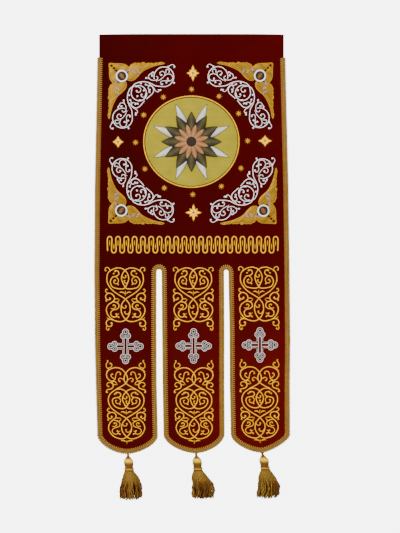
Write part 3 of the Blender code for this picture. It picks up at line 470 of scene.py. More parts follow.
def tail_edges(index, drop):
    """The left and right edges of a tail at a drop."""
    columns = (("left", "first_left"), ("first_right", "second_left"), ("second_right", "right"))
    left, right = columns[index]
    rows = (SIDES if index == 0 else CUTS), (SIDES if index == 2 else CUTS)
    return float(between(rows[0], left, drop)), float(between(rows[1], right, drop))


def tail_end(index, steps=26):
    """The rounded end of a tail from its left corner to its right corner."""
    tail = TAILS[index]
    left = tail_edges(index, tail.left_corner)[0]
    right = tail_edges(index, tail.right_corner)[1]
    line = []
    for x, drop, power, start, end in (
        (left, tail.left_corner, tail.round_left, 90.0, 0.0),
        (right, tail.right_corner, tail.round_right, 0.0, 90.0),
    ):
        turns = np.radians(np.linspace(start, end, steps + 1))
        across = np.sin(turns) ** (2 / power)
        down = np.maximum(np.cos(turns), 0.0) ** (2 / power)
        line.append(np.column_stack((tail.low_x + (x - tail.low_x) * across, drop + (tail.low_drop - drop) * down)))
    return np.vstack((line[0], line[1][1:]))


def straight_edge(rows, column, start, end, step):
    """An edge of the cloth from one drop to another."""
    drops = np.linspace(start, end, max(2, round(abs(end - start) / step)) + 1)
    return np.column_stack((between(rows, column, drops), drops))


def cut_edge(step):
    """The cloth's edge from the seam's left end round the tails and slots to its right end."""
    runs = [straight_edge(SIDES, "left", SEAM_DROP, TAILS[0].left_corner, step)]
    for index, (left, right) in enumerate((("first_left", "first_right"), ("second_left", "second_right"))):
        drop = CUTS[0].drop
        low, high = float(between(CUTS, left, drop)), float(between(CUTS, right, drop))
        runs.append(tail_end(index)[1:])
        runs.append(straight_edge(CUTS, left, TAILS[index].right_corner, drop, step)[1:])
        runs.append(arc(((low + high) / 2, drop), (high - low) / 2, 180, 360, 1.0)[1:])
        runs.append(straight_edge(CUTS, right, drop, TAILS[index + 1].left_corner, step)[1:])
    runs.append(tail_end(2)[1:])
    runs.append(straight_edge(SIDES, "right", TAILS[2].right_corner, SEAM_DROP, step)[1:])
    return evenly(np.vstack(runs), step)


# Filled shapes: cut to an outline, with a padded crown.


def inside_outline(points, outline):
    """Which points lie inside a closed outline, by counting crossings."""
    inside = np.zeros(len(points), bool)
    ends = np.roll(outline, -1, axis=0)
    for (ax, ay), (bx, by) in zip(outline, ends):
        if ay == by:
            continue
        crossing = (points[:, 1] < ay) != (points[:, 1] < by)
        inside ^= crossing & (points[:, 0] < ax + (bx - ax) * (points[:, 1] - ay) / (by - ay))
    return inside


def off_outline(points, outline):
    """How far points are from an outline's stretches."""
    far = np.full(len(points), 1e9)
    ends = np.roll(outline, -1, axis=0)
    for start, end in zip(outline, ends):
        along = end - start
        size = max(float(along @ along), 1e-12)
        part = np.clip(((points - start) @ along) / size, 0.0, 1.0)
        gap = points - start - part[:, None] * along
        far = np.minimum(far, np.hypot(gap[:, 0], gap[:, 1]))
    return far


def filled(outline, step, clear=0.55):
    """An outline filled with an even lattice: its points, its triangles and each point's distance in."""
    low, high = outline.min(axis=0), outline.max(axis=0)
    rows = np.arange(low[1] + step / 2, high[1], step * 0.87)
    lattice = []
    for number, row in enumerate(rows):
        start = low[0] + (step / 2 if number % 2 else step)
        xs = np.arange(start, high[0], step)
        lattice.append(np.column_stack((xs, np.full(len(xs), row))))
    lattice = np.vstack(lattice) if lattice else np.zeros((0, 2))
    lattice = lattice[inside_outline(lattice, outline)]
    far = off_outline(lattice, outline)
    lattice, far = lattice[far > step * clear], far[far > step * clear]
    points = np.vstack((outline, lattice))
    count = len(outline)
    edges = [(index, (index + 1) % count) for index in range(count)]
    made, _, faces, *_ = delaunay_2d_cdt([Vector(p) for p in points], edges, [], 1, 1e-5, False)
    made = np.array([tuple(p) for p in made])
    if len(made) != len(points):
        raise RuntimeError("an outline crosses itself")
    faces = np.array([list(face) for face in faces])
    faces = faces[inside_outline(made[faces].mean(axis=1), outline)]
    return made, faces, np.concatenate((np.zeros(count), far))


def padded_shape(name, outline, step, back, rim, crown, soft, lay=None):
    """A stitched shape with a flat back and a crown that rises over soft millimetres from its rim."""
    outline = np.asarray(outline, float)
    points, triangles, far = filled(outline, step)
    rise = rim + (crown - rim) * np.sin(np.clip(far / soft, 0, 1) * np.pi / 2)
    count, size = len(outline), len(points)
    upside = np.column_stack((points[:, 0], -points[:, 1], back + rise))
    under = np.column_stack((points[:, 0], -points[:, 1], np.full(size, back)))
    turned = signed_area(upside[:count, :2]) < 0
    flips = []
    for face in triangles:
        a, b, c = upside[face, :2]
        flips.append((b - a)[0] * (c - a)[1] - (b - a)[1] * (c - a)[0] < 0)
    front = [list(face[::-1] if flip else face) for face, flip in zip(triangles.tolist(), flips)]
    rear = [[size + corner for corner in face[::-1]] for face in front]
    walls = []
    for first in range(count):
        second = (first + 1) % count
        wall = [first, size + first, size + second, second]
        walls.append(wall[::-1] if turned else wall)
    # X is 1 at the rim, falling to 0 on the crown: the thread materials paint shade where it is high.
    marks = np.column_stack((1 - np.clip(far / soft, 0, 1), points[:, 0] + points[:, 1]))
    marks = np.column_stack((marks if lay is None else lay(points), 0 * far))
    return object_from(name, np.vstack((upside, under)), front + rear + walls, np.vstack((marks, marks)))


def signed_area(corners):
    """The area of a flat polygon, above zero when it runs anticlockwise."""
    after = np.roll(corners, -1, axis=0)
    return float(np.sum(corners[:, 0] * after[:, 1] - after[:, 0] * corners[:, 1])) / 2


def outwards(item):
    """Turn a closed piece's faces outwards."""
    select_only(item)
    bpy.ops.object.mode_set(mode="EDIT")
    bpy.ops.mesh.select_all(action="SELECT")
    bpy.ops.mesh.normals_make_consistent(inside=False)
    bpy.ops.object.mode_set(mode="OBJECT")


# Couched cords.

DOME_SIDES = 7
# The side of a cord that is painted lighter, towards the key lamp at the upper left.
LIT_SIDE = np.array((-0.8, -0.6))
BALL_SHARE = 0.95
SMALLEST_BALL = 2.6
LEAF_POWER = 0.8


def cord_widths(line, width, tip):
    """The half widths along a cord: round at its start, and a ball, point or round end."""
    lengths = np.concatenate(([0.0], np.cumsum(np.linalg.norm(np.diff(line, axis=0), axis=1))))
    total = lengths[-1]
    half = np.full(len(line), width / 2)
    if tip == "leaf":
        part = np.clip(lengths / total, 0, 1)
        return half * np.maximum(np.sin(np.pi * part) ** LEAF_POWER, 0.06)

    def rounded(distance, radius):
        return np.sqrt(np.clip(1 - (1 - np.minimum(distance / radius, 1)) ** 2, 0.02, 1))

    half = half * rounded(lengths, width / 2)
    left = total - lengths
    if tip == "point":
        return half * np.clip(0.12 + left / (width * 2.4), 0, 1)
    half = half * rounded(left, width / 2)
    if tip == "ball":
        radius = max(width * BALL_SHARE, SMALLEST_BALL)
        ball = np.sqrt(np.clip(radius**2 - (left - radius) ** 2, 0, None))
        half = np.maximum(half, ball)
    return half


def couched(name, cords, back, share=0.56):
    """Half-round cords laid on the table in one mesh. A cord is its line and its half widths."""
    turns = np.linspace(0, np.pi, DOME_SIDES)
    ring = len(turns)
    corners, faces, lays = [], [], []
    start = 0
    for line, half in cords:
        across = sideways(line)
        lengths = np.concatenate(([0.0], np.cumsum(np.linalg.norm(np.diff(line, axis=0), axis=1))))
        flat = line[:, None, :] + across[:, None, :] * (half[:, None] * np.cos(turns))[:, :, None]
        rise = back + 2 * share * half[:, None] * np.sin(turns)
        corners.append(np.dstack((flat[:, :, 0], -flat[:, :, 1], rise)).reshape(-1, 3))
        # The lay: the place across the cord, for painted shade at its sides; the run along it; and the painted light of
        # its lit side.
        u = np.broadcast_to(np.cos(turns), (len(line), ring))
        v = np.broadcast_to(lengths[:, None], (len(line), ring))
        lit = (across @ LIT_SIDE)[:, None] * np.cos(turns)
        lays.append(np.dstack((u, v, lit)).reshape(-1, 3))
        for index in range(len(line) - 1):
            here = start + index * ring
            for side in range(ring):
                after = (side + 1) % ring
                faces.append([here + side, here + after, here + ring + after, here + ring + side])
        faces.append([start + side for side in range(ring)][::-1])
        faces.append([start + (len(line) - 1) * ring + side for side in range(ring)])
        start += len(line) * ring
    return object_from(name, np.vstack(corners), faces, np.vstack(lays))


def cords_on(rows, seat, step, share=1.0):
    """Finished cords from table rows, seated by a function of a whole line."""
    made = []
    for row in rows:
        line = evenly(seat(smooth_line(row.knots, step)), step)
        made.append((line, cord_widths(line, row.width * share, row.tip)))
    return made


# Nodes.


def put(tree, kind, values=None, **settings):
    """Add a node with its settings and the values of its sockets."""
    node = tree.nodes.new(kind)
    for key, value in settings.items():
        setattr(node, key, value)
    for key, value in (values or {}).items():
        node.inputs[key].default_value = value
    return node


def wire(tree, *pairs):
    """Link pairs of sockets."""
    for source, target in pairs:
        tree.links.new(source, target)


def maths(tree, operation, first, second=None, third=None):
    """A maths node whose inputs are sockets or numbers, and its result."""
    node = put(tree, "ShaderNodeMath", operation=operation)
    for index, value in enumerate((first, second, third)):
        if value is None:
            continue
        if isinstance(value, (int, float)):
            node.inputs[index].default_value = value
        else:
            tree.links.new(value, node.inputs[index])
    return node.outputs[0]


def new_group(name, inputs, outputs):
    """A shader group with named inputs and outputs, and its two ends."""
    group = bpy.data.node_groups.new(name, "ShaderNodeTree")
    for label, kind, value in inputs:
        socket = group.interface.new_socket(name=label, in_out="INPUT", socket_type=kind)
        if value is not None:
            socket.default_value = value
    for label, kind in outputs:
        group.interface.new_socket(name=label, in_out="OUTPUT", socket_type=kind)
    return group, group.nodes.new("NodeGroupInput"), group.nodes.new("NodeGroupOutput")


FLOAT = "NodeSocketFloat"
VECTOR = "NodeSocketVector"
COLOUR = "NodeSocketColor"


def thread_group():
    """Threads laid side by side: their round height, the grooves and each thread's own tone."""
    found = bpy.data.node_groups.get("Threads")
    if found:
        return found
    group, start, end = new_group(
        "Threads",
        (("Run", FLOAT, 0.0), ("Pitch", FLOAT, 1.0)),
        (("Height", FLOAT), ("Groove", FLOAT), ("Tone", FLOAT)),
    )
    count = maths(group, "DIVIDE", start.outputs["Run"], start.outputs["Pitch"])
    wave = maths(group, "ABSOLUTE", maths(group, "SINE", maths(group, "MULTIPLY", count, math.pi)))
    groove = put(group, "ShaderNodeMapRange", {"From Min": 0.0, "From Max": 0.5, "To Min": 1.0, "To Max": 0.0})
    tone = put(group, "ShaderNodeTexWhiteNoise", noise_dimensions="1D")
    wire(
        group,
        (wave, end.inputs["Height"]),
        (wave, groove.inputs["Value"]),
        (groove.outputs["Result"], end.inputs["Groove"]),
        (maths(group, "FLOOR", count), tone.inputs["W"]),
        (tone.outputs["Value"], end.inputs["Tone"]),
    )
    return group


def patches_group():
    """Soft uneven patches of lighter and darker tone over a piece."""
    found = bpy.data.node_groups.get("Patches")
    if found:
        return found
    group, start, end = new_group(
        "Patches",
        (("Scale", FLOAT, 8.0), ("Amount", FLOAT, 0.2)),
        (("Factor", FLOAT), ("Fine", FLOAT)),
    )
    place = put(group, "ShaderNodeTexCoord")
    broad = put(group, "ShaderNodeTexNoise", {"Detail": 3.0, "Roughness": 0.6})
    fine = put(group, "ShaderNodeTexNoise", {"Detail": 2.0, "Roughness": 0.5})
    spread = put(group, "ShaderNodeMapRange", {"From Min": 0.3, "From Max": 0.7, "To Min": -1.0, "To Max": 1.0})
    wire(
        group,
        (place.outputs["Object"], broad.inputs["Vector"]),
        (start.outputs["Scale"], broad.inputs["Scale"]),
        (place.outputs["Object"], fine.inputs["Vector"]),
        (maths(group, "MULTIPLY", start.outputs["Scale"], 42.0), fine.inputs["Scale"]),
        (broad.outputs["Fac"], spread.inputs["Value"]),
        (maths(group, "MULTIPLY_ADD", spread.outputs["Result"], start.outputs["Amount"], 1.0), end.inputs["Factor"]),
        (fine.outputs["Fac"], end.inputs["Fine"]),
    )
    return group


def shade_group():
    """A colour made darker or lighter by a factor."""
    found = bpy.data.node_groups.get("Shade")
    if found:
        return found
    group, start, end = new_group("Shade", (("Colour", COLOUR, None), ("Factor", FLOAT, 1.0)), (("Colour", COLOUR),))
    product = put(group, "ShaderNodeVectorMath", operation="SCALE")
    wire(
        group,
        (start.outputs["Colour"], product.inputs[0]),
        (start.outputs["Factor"], product.inputs["Scale"]),
        (product.outputs[0], end.inputs["Colour"]),
    )
    return group


def placed_group(tree, group, **values):
    """A group placed in a material with its own values."""
    node = put(tree, "ShaderNodeGroup")
    node.node_tree = group
    for key, value in values.items():
        node.inputs[key].default_value = value
    return node


# A thread's light colour is a painted highlight along its middle and its edge colour is painted shade at its sides; its
# groove paints shade between the threads, and its painted side light makes the side towards the lamp lighter.
THREAD_PARTS = "name edge body light roughness metallic pitch slant bump spread groove uneven relief"
Thread = namedtuple("Thread", THREAD_PARTS, defaults=(0.25, 0.16, 0.0))


def thread_material(look):
    """Satin stitches or couched threads that run across the lay, with a painted highlight along the middle, painted
    shade at the sides and in the grooves between threads, and a painted lighter side.
    """
    found = bpy.data.materials.get(look.name)
    if found:
        return found
    material = bpy.data.materials.new(look.name)
    material.use_nodes = True
    tree = material.node_tree
    shader = tree.nodes["Principled BSDF"]
    shader.inputs["Roughness"].default_value = look.roughness
    shader.inputs["Specular IOR Level"].default_value = 0.06
    shader.inputs["Metallic"].default_value = look.metallic
    lay = put(tree, "ShaderNodeAttribute", attribute_name="lay")
    parts = put(tree, "ShaderNodeSeparateXYZ")
    threads = placed_group(tree, thread_group(), Pitch=look.pitch)
    patches = placed_group(tree, patches_group(), Scale=34.0, Amount=0.10)
    shade = placed_group(tree, shade_group())
    # Painted light across the lay: a highlight in the middle, shade at the sides.
    ramp = put(tree, "ShaderNodeValToRGB")
    ramp.color_ramp.elements[0].position = 0.0
    ramp.color_ramp.elements[0].color = (*look.light, 1)
    ramp.color_ramp.elements[1].position = 0.97
    ramp.color_ramp.elements[1].color = (*look.edge, 1)
    middle = ramp.color_ramp.elements.new(look.spread)
    middle.color = (*look.body, 1)
    bump = put(tree, "ShaderNodeBump", {"Strength": look.bump, "Distance": 0.0004})
    wire(tree, (lay.outputs["Vector"], parts.inputs["Vector"]))
    run = maths(tree, "MULTIPLY_ADD", parts.outputs["X"], look.slant, parts.outputs["Y"])
    # Painted shade in the grooves between threads.
    factor = maths(tree, "MULTIPLY_ADD", threads.outputs["Groove"], -look.groove, 1.0)
    toned = maths(tree, "MULTIPLY_ADD", threads.outputs["Tone"], look.uneven, 1.0 - look.uneven / 2)
    # Painted light: the side of a cord that faces the lamp is lighter, the other side darker.
    lit = maths(tree, "MULTIPLY_ADD", parts.outputs["Z"], look.relief, 1.0)
    factor = maths(tree, "MULTIPLY", maths(tree, "MULTIPLY", factor, toned), patches.outputs["Factor"])
    factor = maths(tree, "MULTIPLY", factor, lit)
    wire(
        tree,
        (run, threads.inputs["Run"]),
        (maths(tree, "ABSOLUTE", parts.outputs["X"]), ramp.inputs["Fac"]),
        (ramp.outputs["Color"], shade.inputs["Colour"]),
        (factor, shade.inputs["Factor"]),
        (shade.outputs["Colour"], shader.inputs["Base Color"]),
        (threads.outputs["Height"], bump.inputs["Height"]),
        (bump.outputs["Normal"], shader.inputs["Normal"]),
    )
    return material


GOLD_CORD = Thread(
    "gold_couching",
    edge=(0.10, 0.036, 0.003),
    body=(0.60, 0.27, 0.008),
    light=(1.0, 0.50, 0.014),
    roughness=0.34,
    metallic=0.5,
    pitch=0.9,
    slant=0.5,
    bump=0.5,
    spread=0.62,
    relief=0.38,
)
GOLD_SATIN = Thread(
    "gold_satin",
    edge=(0.11, 0.048, 0.003),
    body=(0.205, 0.104, 0.0056),
    light=(0.275, 0.141, 0.0078),
    roughness=0.44,
    metallic=0.5,
    pitch=5.6,
    slant=0.0,
    bump=1.0,
    spread=0.5,
    groove=0.7,
    uneven=0.40,
)
GOLD_STAR = Thread(
    "gold_star_satin",
    edge=(0.16, 0.07, 0.005),
    body=(0.48, 0.23, 0.010),
    light=(0.60, 0.30, 0.016),
    roughness=0.42,
    metallic=0.45,
    pitch=1.6,
    slant=0.0,
    bump=0.6,
    spread=0.5,
)
SILVER_CORD = Thread(
    "silver_couching",
    edge=(0.15, 0.12, 0.12),
    body=(0.80, 0.78, 0.78),
    light=(1.0, 0.99, 1.0),
    roughness=0.36,
    metallic=0.2,
    pitch=0.9,
    slant=0.5,
    bump=0.4,
    spread=0.78,
    relief=0.25,
)
SILVER_GREY = Thread(
    "grey_silver_couching",
    edge=(0.08, 0.045, 0.042),
    body=(0.55, 0.49, 0.46),
    light=(0.95, 0.90, 0.86),
    roughness=0.42,
    metallic=0.2,
    pitch=0.9,
    slant=0.5,
    bump=0.4,
    spread=0.62,
    relief=0.30,
)
SILVER_SATIN = Thread(
    "pale_silver_satin",
    edge=(0.26, 0.25, 0.23),
    body=(0.46, 0.45, 0.41),
    light=(0.58, 0.57, 0.51),
    roughness=0.45,
    metallic=0.2,
    pitch=2.4,
    slant=0.0,
    bump=0.6,
    spread=0.5,
    groove=0.4,
)
SILVER_LILAC = Thread(
    "lilac_silver_threads",
    edge=(0.07, 0.045, 0.050),
    body=(0.24, 0.185, 0.210),
    light=(0.36, 0.290, 0.330),
    roughness=0.5,
    metallic=0.2,
    pitch=1.6,
    slant=0.0,
    bump=0.6,
    spread=0.6,
    groove=0.5,
)
OLIVE_THREAD = Thread(
    "olive_silk",
    edge=(0.014, 0.011, 0.004),
    body=(0.040, 0.032, 0.013),
    light=(0.075, 0.062, 0.028),
    roughness=0.6,
    metallic=0.0,
    pitch=2.6,
    slant=0.0,
    bump=0.8,
    spread=0.5,
    groove=0.5,
    uneven=0.35,
)
TAN_THREAD = Thread(
    "tan_silk",
    edge=(0.09, 0.034, 0.010),
    body=(0.23, 0.100, 0.036),
    light=(0.34, 0.165, 0.070),
    roughness=0.55,
    metallic=0.0,
    pitch=2.6,
    slant=0.0,
    bump=0.6,
    spread=0.5,
    groove=0.35,
    uneven=0.2,
)
RUSSET_THREAD = Thread(
    "russet_silk",
    edge=(0.030, 0.010, 0.004),
    body=(0.13, 0.045, 0.014),
    light=(0.20, 0.072, 0.022),
    roughness=0.5,
    metallic=0.0,
    pitch=2.4,
    slant=0.0,
    bump=0.6,
    spread=0.5,
    groove=0.6,
    uneven=0.5,
)
DARK_THREAD = Thread(
    "dark_silk",
    edge=(0.005, 0.003, 0.002),
    body=(0.014, 0.009, 0.006),
    light=(0.030, 0.020, 0.013),
    roughness=0.6,
    metallic=0.0,
    pitch=1.0,
    slant=0.0,
    bump=0.5,
    spread=0.5,
)
# Dark lines between the cross's silver strands: partly the velvet showing in the gaps, partly painted shade.
SHADOW_THREAD = Thread(
    "brown_shadow_thread",
    edge=(0.014, 0.004, 0.004),
    body=(0.022, 0.007, 0.007),
    light=(0.032, 0.011, 0.011),
    roughness=0.6,
    metallic=0.0,
    pitch=1.0,
    slant=0.0,
    bump=0.5,
    spread=0.5,
)


def velvet_material(colours):
    """Dark red velvet: a short pile, uneven patches, painted light that grows towards the right, and a lighter, warmer
    painted sheen on the tails.
    """
    found = bpy.data.materials.get("velvet_pile")
    if found:
        return found
    material = bpy.data.materials.new("velvet_pile")
    material.use_nodes = True
    tree = material.node_tree
    shader = tree.nodes["Principled BSDF"]
    shader.inputs["Roughness"].default_value = 0.95
    shader.inputs["Specular IOR Level"].default_value = 0.03
    shader.inputs["Sheen Weight"].default_value = 0.01
    shader.inputs["Sheen Roughness"].default_value = 0.4
    shader.inputs["Sheen Tint"].default_value = (0.9, 0.10, 0.05, 1.0)
    place = put(tree, "ShaderNodeTexCoord")
    parts = put(tree, "ShaderNodeSeparateXYZ")
    patches = placed_group(tree, patches_group(), Scale=7.0, Amount=0.16)
    shade = placed_group(tree, shade_group())
    pile = put(tree, "ShaderNodeTexNoise", {"Scale": 900.0, "Detail": 2.0, "Roughness": 0.7})
    # Painted sheen: the velvet on the tails is given a lighter, warmer colour.
    tails = put(tree, "ShaderNodeMapRange", {"From Min": -0.60, "From Max": -0.85, "To Min": 0.0, "To Max": 1.0})
    tint = put(tree, "ShaderNodeMix", data_type="RGBA")
    tint.inputs["A"].default_value = colours.velvet[:] + (1.0,)
    tint.inputs["B"].default_value = colours.velvet_tails[:] + (1.0,)
    bump = put(tree, "ShaderNodeBump", {"Strength": 0.35, "Distance": 0.0006})
    speckle = maths(tree, "MULTIPLY_ADD", pile.outputs["Fac"], 0.5, 0.75)
    # Painted light: the velvet grows lighter towards the right side.
    painted_light_to_right = maths(tree, "MULTIPLY_ADD", parts.outputs["X"], 1.05, 1.12)
    speckle = maths(tree, "MULTIPLY", speckle, painted_light_to_right)
    wire(
        tree,
        (place.outputs["Object"], parts.inputs["Vector"]),
        (place.outputs["Object"], pile.inputs["Vector"]),
        (parts.outputs["Z"], tails.inputs["Value"]),
        (tails.outputs["Result"], tint.inputs["Factor"]),
        (tint.outputs["Result"], shade.inputs["Colour"]),
        (maths(tree, "MULTIPLY", patches.outputs["Factor"], speckle), shade.inputs["Factor"]),
        (shade.outputs["Colour"], shader.inputs["Base Color"]),
        (pile.outputs["Fac"], bump.inputs["Height"]),
        (bump.outputs["Normal"], shader.inputs["Normal"]),
    )
    return material


def braid_material(colours):
    """Woven gold galloon: light ribs, painted shade in the grooves between them and dark stitches at the outer edge."""
    found = bpy.data.materials.get("galloon_weave")
    if found:
        return found
    material = bpy.data.materials.new("galloon_weave")
    material.use_nodes = True
    tree = material.node_tree
    shader = tree.nodes["Principled BSDF"]
    shader.inputs["Roughness"].default_value = 0.5
    shader.inputs["Metallic"].default_value = 0.4
    shader.inputs["Specular IOR Level"].default_value = 0.06
    lay = put(tree, "ShaderNodeAttribute", attribute_name="lay")
    parts = put(tree, "ShaderNodeSeparateXYZ")
    threads = placed_group(tree, thread_group(), Pitch=1.5)
    patches = placed_group(tree, patches_group(), Scale=30.0, Amount=0.12)
    shade = placed_group(tree, shade_group())
    tint = put(tree, "ShaderNodeMix", data_type="RGBA", clamp_factor=False)
    tint.inputs["A"].default_value = colours.braid_shadow[:] + (1.0,)
    tint.inputs["B"].default_value = colours.braid[:] + (1.0,)
    bump = put(tree, "ShaderNodeBump", {"Strength": 0.6, "Distance": 0.0005})
    wire(tree, (lay.outputs["Vector"], parts.inputs["Vector"]))
    run = maths(tree, "MULTIPLY_ADD", parts.outputs["X"], 0.6, parts.outputs["Y"])
    # Painted shade in the grooves between threads.
    factor = maths(tree, "MULTIPLY_ADD", threads.outputs["Groove"], -0.35, 1.05)
    wire(
        tree,
        (run, threads.inputs["Run"]),
        (parts.outputs["Z"], tint.inputs["Factor"]),
        (tint.outputs["Result"], shade.inputs["Colour"]),
        (maths(tree, "MULTIPLY", factor, patches.outputs["Factor"]), shade.inputs["Factor"]),
        (shade.outputs["Colour"], shader.inputs["Base Color"]),
        (threads.outputs["Height"], bump.inputs["Height"]),
        (bump.outputs["Normal"], shader.inputs["Normal"]),
    )
    return material


# Sizes and colours that a user would change.


def length_property(label, what, value):
    """A length in metres with its unit."""
    return bpy.props.FloatProperty(name=label, description=what, default=value, min=0.0, unit="LENGTH", precision=4)


def colour_property(label, what, value):
    """A linear colour."""
    return bpy.props.FloatVectorProperty(
        name=label, description=what, default=value, size=3, min=0.0, max=1.0, subtype="COLOR"
    )


class BannerSizes(bpy.types.PropertyGroup):
    """Sizes of the banner's sewn and stitched parts."""

    cloth_thickness: length_property("Cloth thickness", "Thickness of the lined velvet", 0.0024)
    lattice: length_property("Cloth lattice", "Distance between the cloth's mesh corners", 0.0065)
    sleeve_wall: length_property("Sleeve wall", "Thickness of the pole sleeve's cloth", 0.0022)
    sleeve_depth: length_property("Sleeve depth", "Depth of the open pole sleeve", 0.015)
    braid_width: length_property("Braid width", "Width of the edge braid with its picots", 0.0135)
    picot_pitch: length_property("Picot pitch", "Distance between the braid's picots", 0.0052)
    stitch_step: length_property("Stitch step", "Length of a couched cord's mesh segments", 0.0013)
    tassel_strands: bpy.props.IntProperty(
        name="Tassel strands", description="Twisted strands in each tassel", default=92, min=12, max=100
    )


class BannerColours(bpy.types.PropertyGroup):
    """Colours of the banner's cloth and trim."""

    velvet: colour_property("Velvet", "Colour of the velvet above the tails", (0.034, 0.0004, 0.0001))
    # The velvet on the tails is lighter as painted sheen.
    velvet_tails: colour_property("Velvet on the tails", "Colour of the velvet on the tails", (0.051, 0.0011, 0.0002))
    braid: colour_property("Braid", "Colour of the braid's ribs", (0.285, 0.150, 0.026))
    # The braid's grooves take this colour as painted shade.
    braid_shadow: colour_property("Braid grooves", "Colour between the braid's ribs", (0.055, 0.020, 0.006))
    field: colour_property("Medallion field", "Colour of the medallion's gold field", (0.29, 0.232, 0.015))
    floor: colour_property("Floor", "Colour of the studio floor", (0.80, 0.80, 0.81))


# The pieces.


class BANNER_OT_cloth(bpy.types.Operator):
    """Cut the velvet panel with its three tails and hang it"""

    bl_idname = "banner.cloth"
    bl_label = "Velvet Cloth"

    # How far the cloth's top reaches into the sleeve's foot.
    TUCKED = 0.6

    def execute(self, context):
        sizes = context.scene.banner_sizes
        outline = cut_edge(4.0)
        outline[[0, -1], 1] -= SEAM_GAP + self.TUCKED
        lattice = sizes.lattice / MM
        top = np.linspace(outline[-1], outline[0], round((outline[-1][0] - outline[0][0]) / lattice) + 1)[1:-1]
        outline = np.vstack((outline, top))
        points, triangles, _ = filled(outline, lattice)
        item = object_from("velvet_cloth", np.column_stack((points[:, 0], -points[:, 1], 0 * points[:, 0])),
            triangles.tolist())
        select_only(item)
        bpy.ops.object.modifier_add(type="SOLIDIFY")
        item.modifiers[-1].thickness = sizes.cloth_thickness
        item.modifiers[-1].offset = 0.0
        bpy.ops.object.modifier_apply(modifier=item.modifiers[-1].name)
        hang(item)
        keep(item, "banner_cloth", "velvet", velvet_material(context.scene.banner_colours))
        return {"FINISHED"}


class BANNER_OT_sleeve(bpy.types.Operator):
    """Turn the heading over into a pole sleeve that is open at both ends"""

    bl_idname = "banner.sleeve"
    bl_label = "Pole Sleeve"

    def execute(self, context):
        sizes = context.scene.banner_sizes
        wall = sizes.sleeve_wall / MM
        depth = sizes.sleeve_depth / MM
        front = -FACE
        foot = SEAM_DROP - SEAM_GAP
        outer = self.section(front, depth, 0.0, foot)
        inner = self.section(front, depth, wall, foot - 3.2 * wall)
        stations = 97
        corners = []
        lays = []
        for station in range(stations):
            part = station / (stations - 1)
            x = SLEEVE_LEFT + (SLEEVE_RIGHT - SLEEVE_LEFT) * part
            dip = SLEEVE_CORNER_DIP * (2 * part - 1) ** 6
            for loop in (outer, inner):
                for number, (behind, drop) in enumerate(loop):
                    held = max(0.0, 1 - drop / SLEEVE_BACK_DROP)
                    back = eased((behind - front - depth / 2) / (depth / 2))
                    soft = 0.5 * back * math.sin(part * 23.0 + drop * 0.05)
                    corners.append((x, -(drop + (dip - SLEEVE_RISE) * held), -(behind + soft)))
                    lays.append((x, number, 0.0))
        ring = len(outer)
        faces = []
        for station in range(stations - 1):
            here = station * 2 * ring
            for first in range(ring):
                after = (first + 1) % ring
                faces.append([here + first, here + 2 * ring + first, here + 2 * ring + after, here + after])
                a, b = here + ring + first, here + ring + after
                faces.append([a, b, b + 2 * ring, a + 2 * ring])
        for here in (0, (stations - 1) * 2 * ring):
            for first in range(ring):
                after = (first + 1) % ring
                rim = [here + first, here + after, here + ring + after, here + ring + first]
                faces.append(rim[::-1] if here else rim)
        item = object_from("velvet_sleeve", corners, faces, lays)
        across, up, forward = corners_of(item.data).T
        item.data.vertices.foreach_set("co", np.column_stack((across, -forward, up)).ravel())
        keep(item, "pole_sleeve", "velvet", velvet_material(context.scene.banner_colours))
        return {"FINISHED"}

    def section(self, front, depth, inset, foot):
        """One side of the wall as (behind, drop), from the front's foot over the top and down the back."""
        near = front + inset
        radius = depth / 2
        middle = front + radius
        turns = np.linspace(math.pi, 0.0, 15)
        turned = np.column_stack((middle + (radius - inset) * np.cos(turns), radius - (radius - inset) * np.sin(turns)))
        far = front + depth - inset
        slant = (SLEEVE_BACK_DROP + foot) / 2
        last = front + 2 * FACE if inset == 0.0 else near + 0.6
        face = np.column_stack((np.full(8, near), np.linspace(foot, radius + 1.5, 8)))
        knots = ((far, radius + 4), (far, SLEEVE_BACK_DROP * 0.62), (far - radius * 0.42, slant), (last, foot))
        closing = smooth_line(knots, 1.0)
        rows = np.linspace(0, len(closing) - 1, 16).round().astype(int)
        return np.vstack((face, turned, closing[rows]))


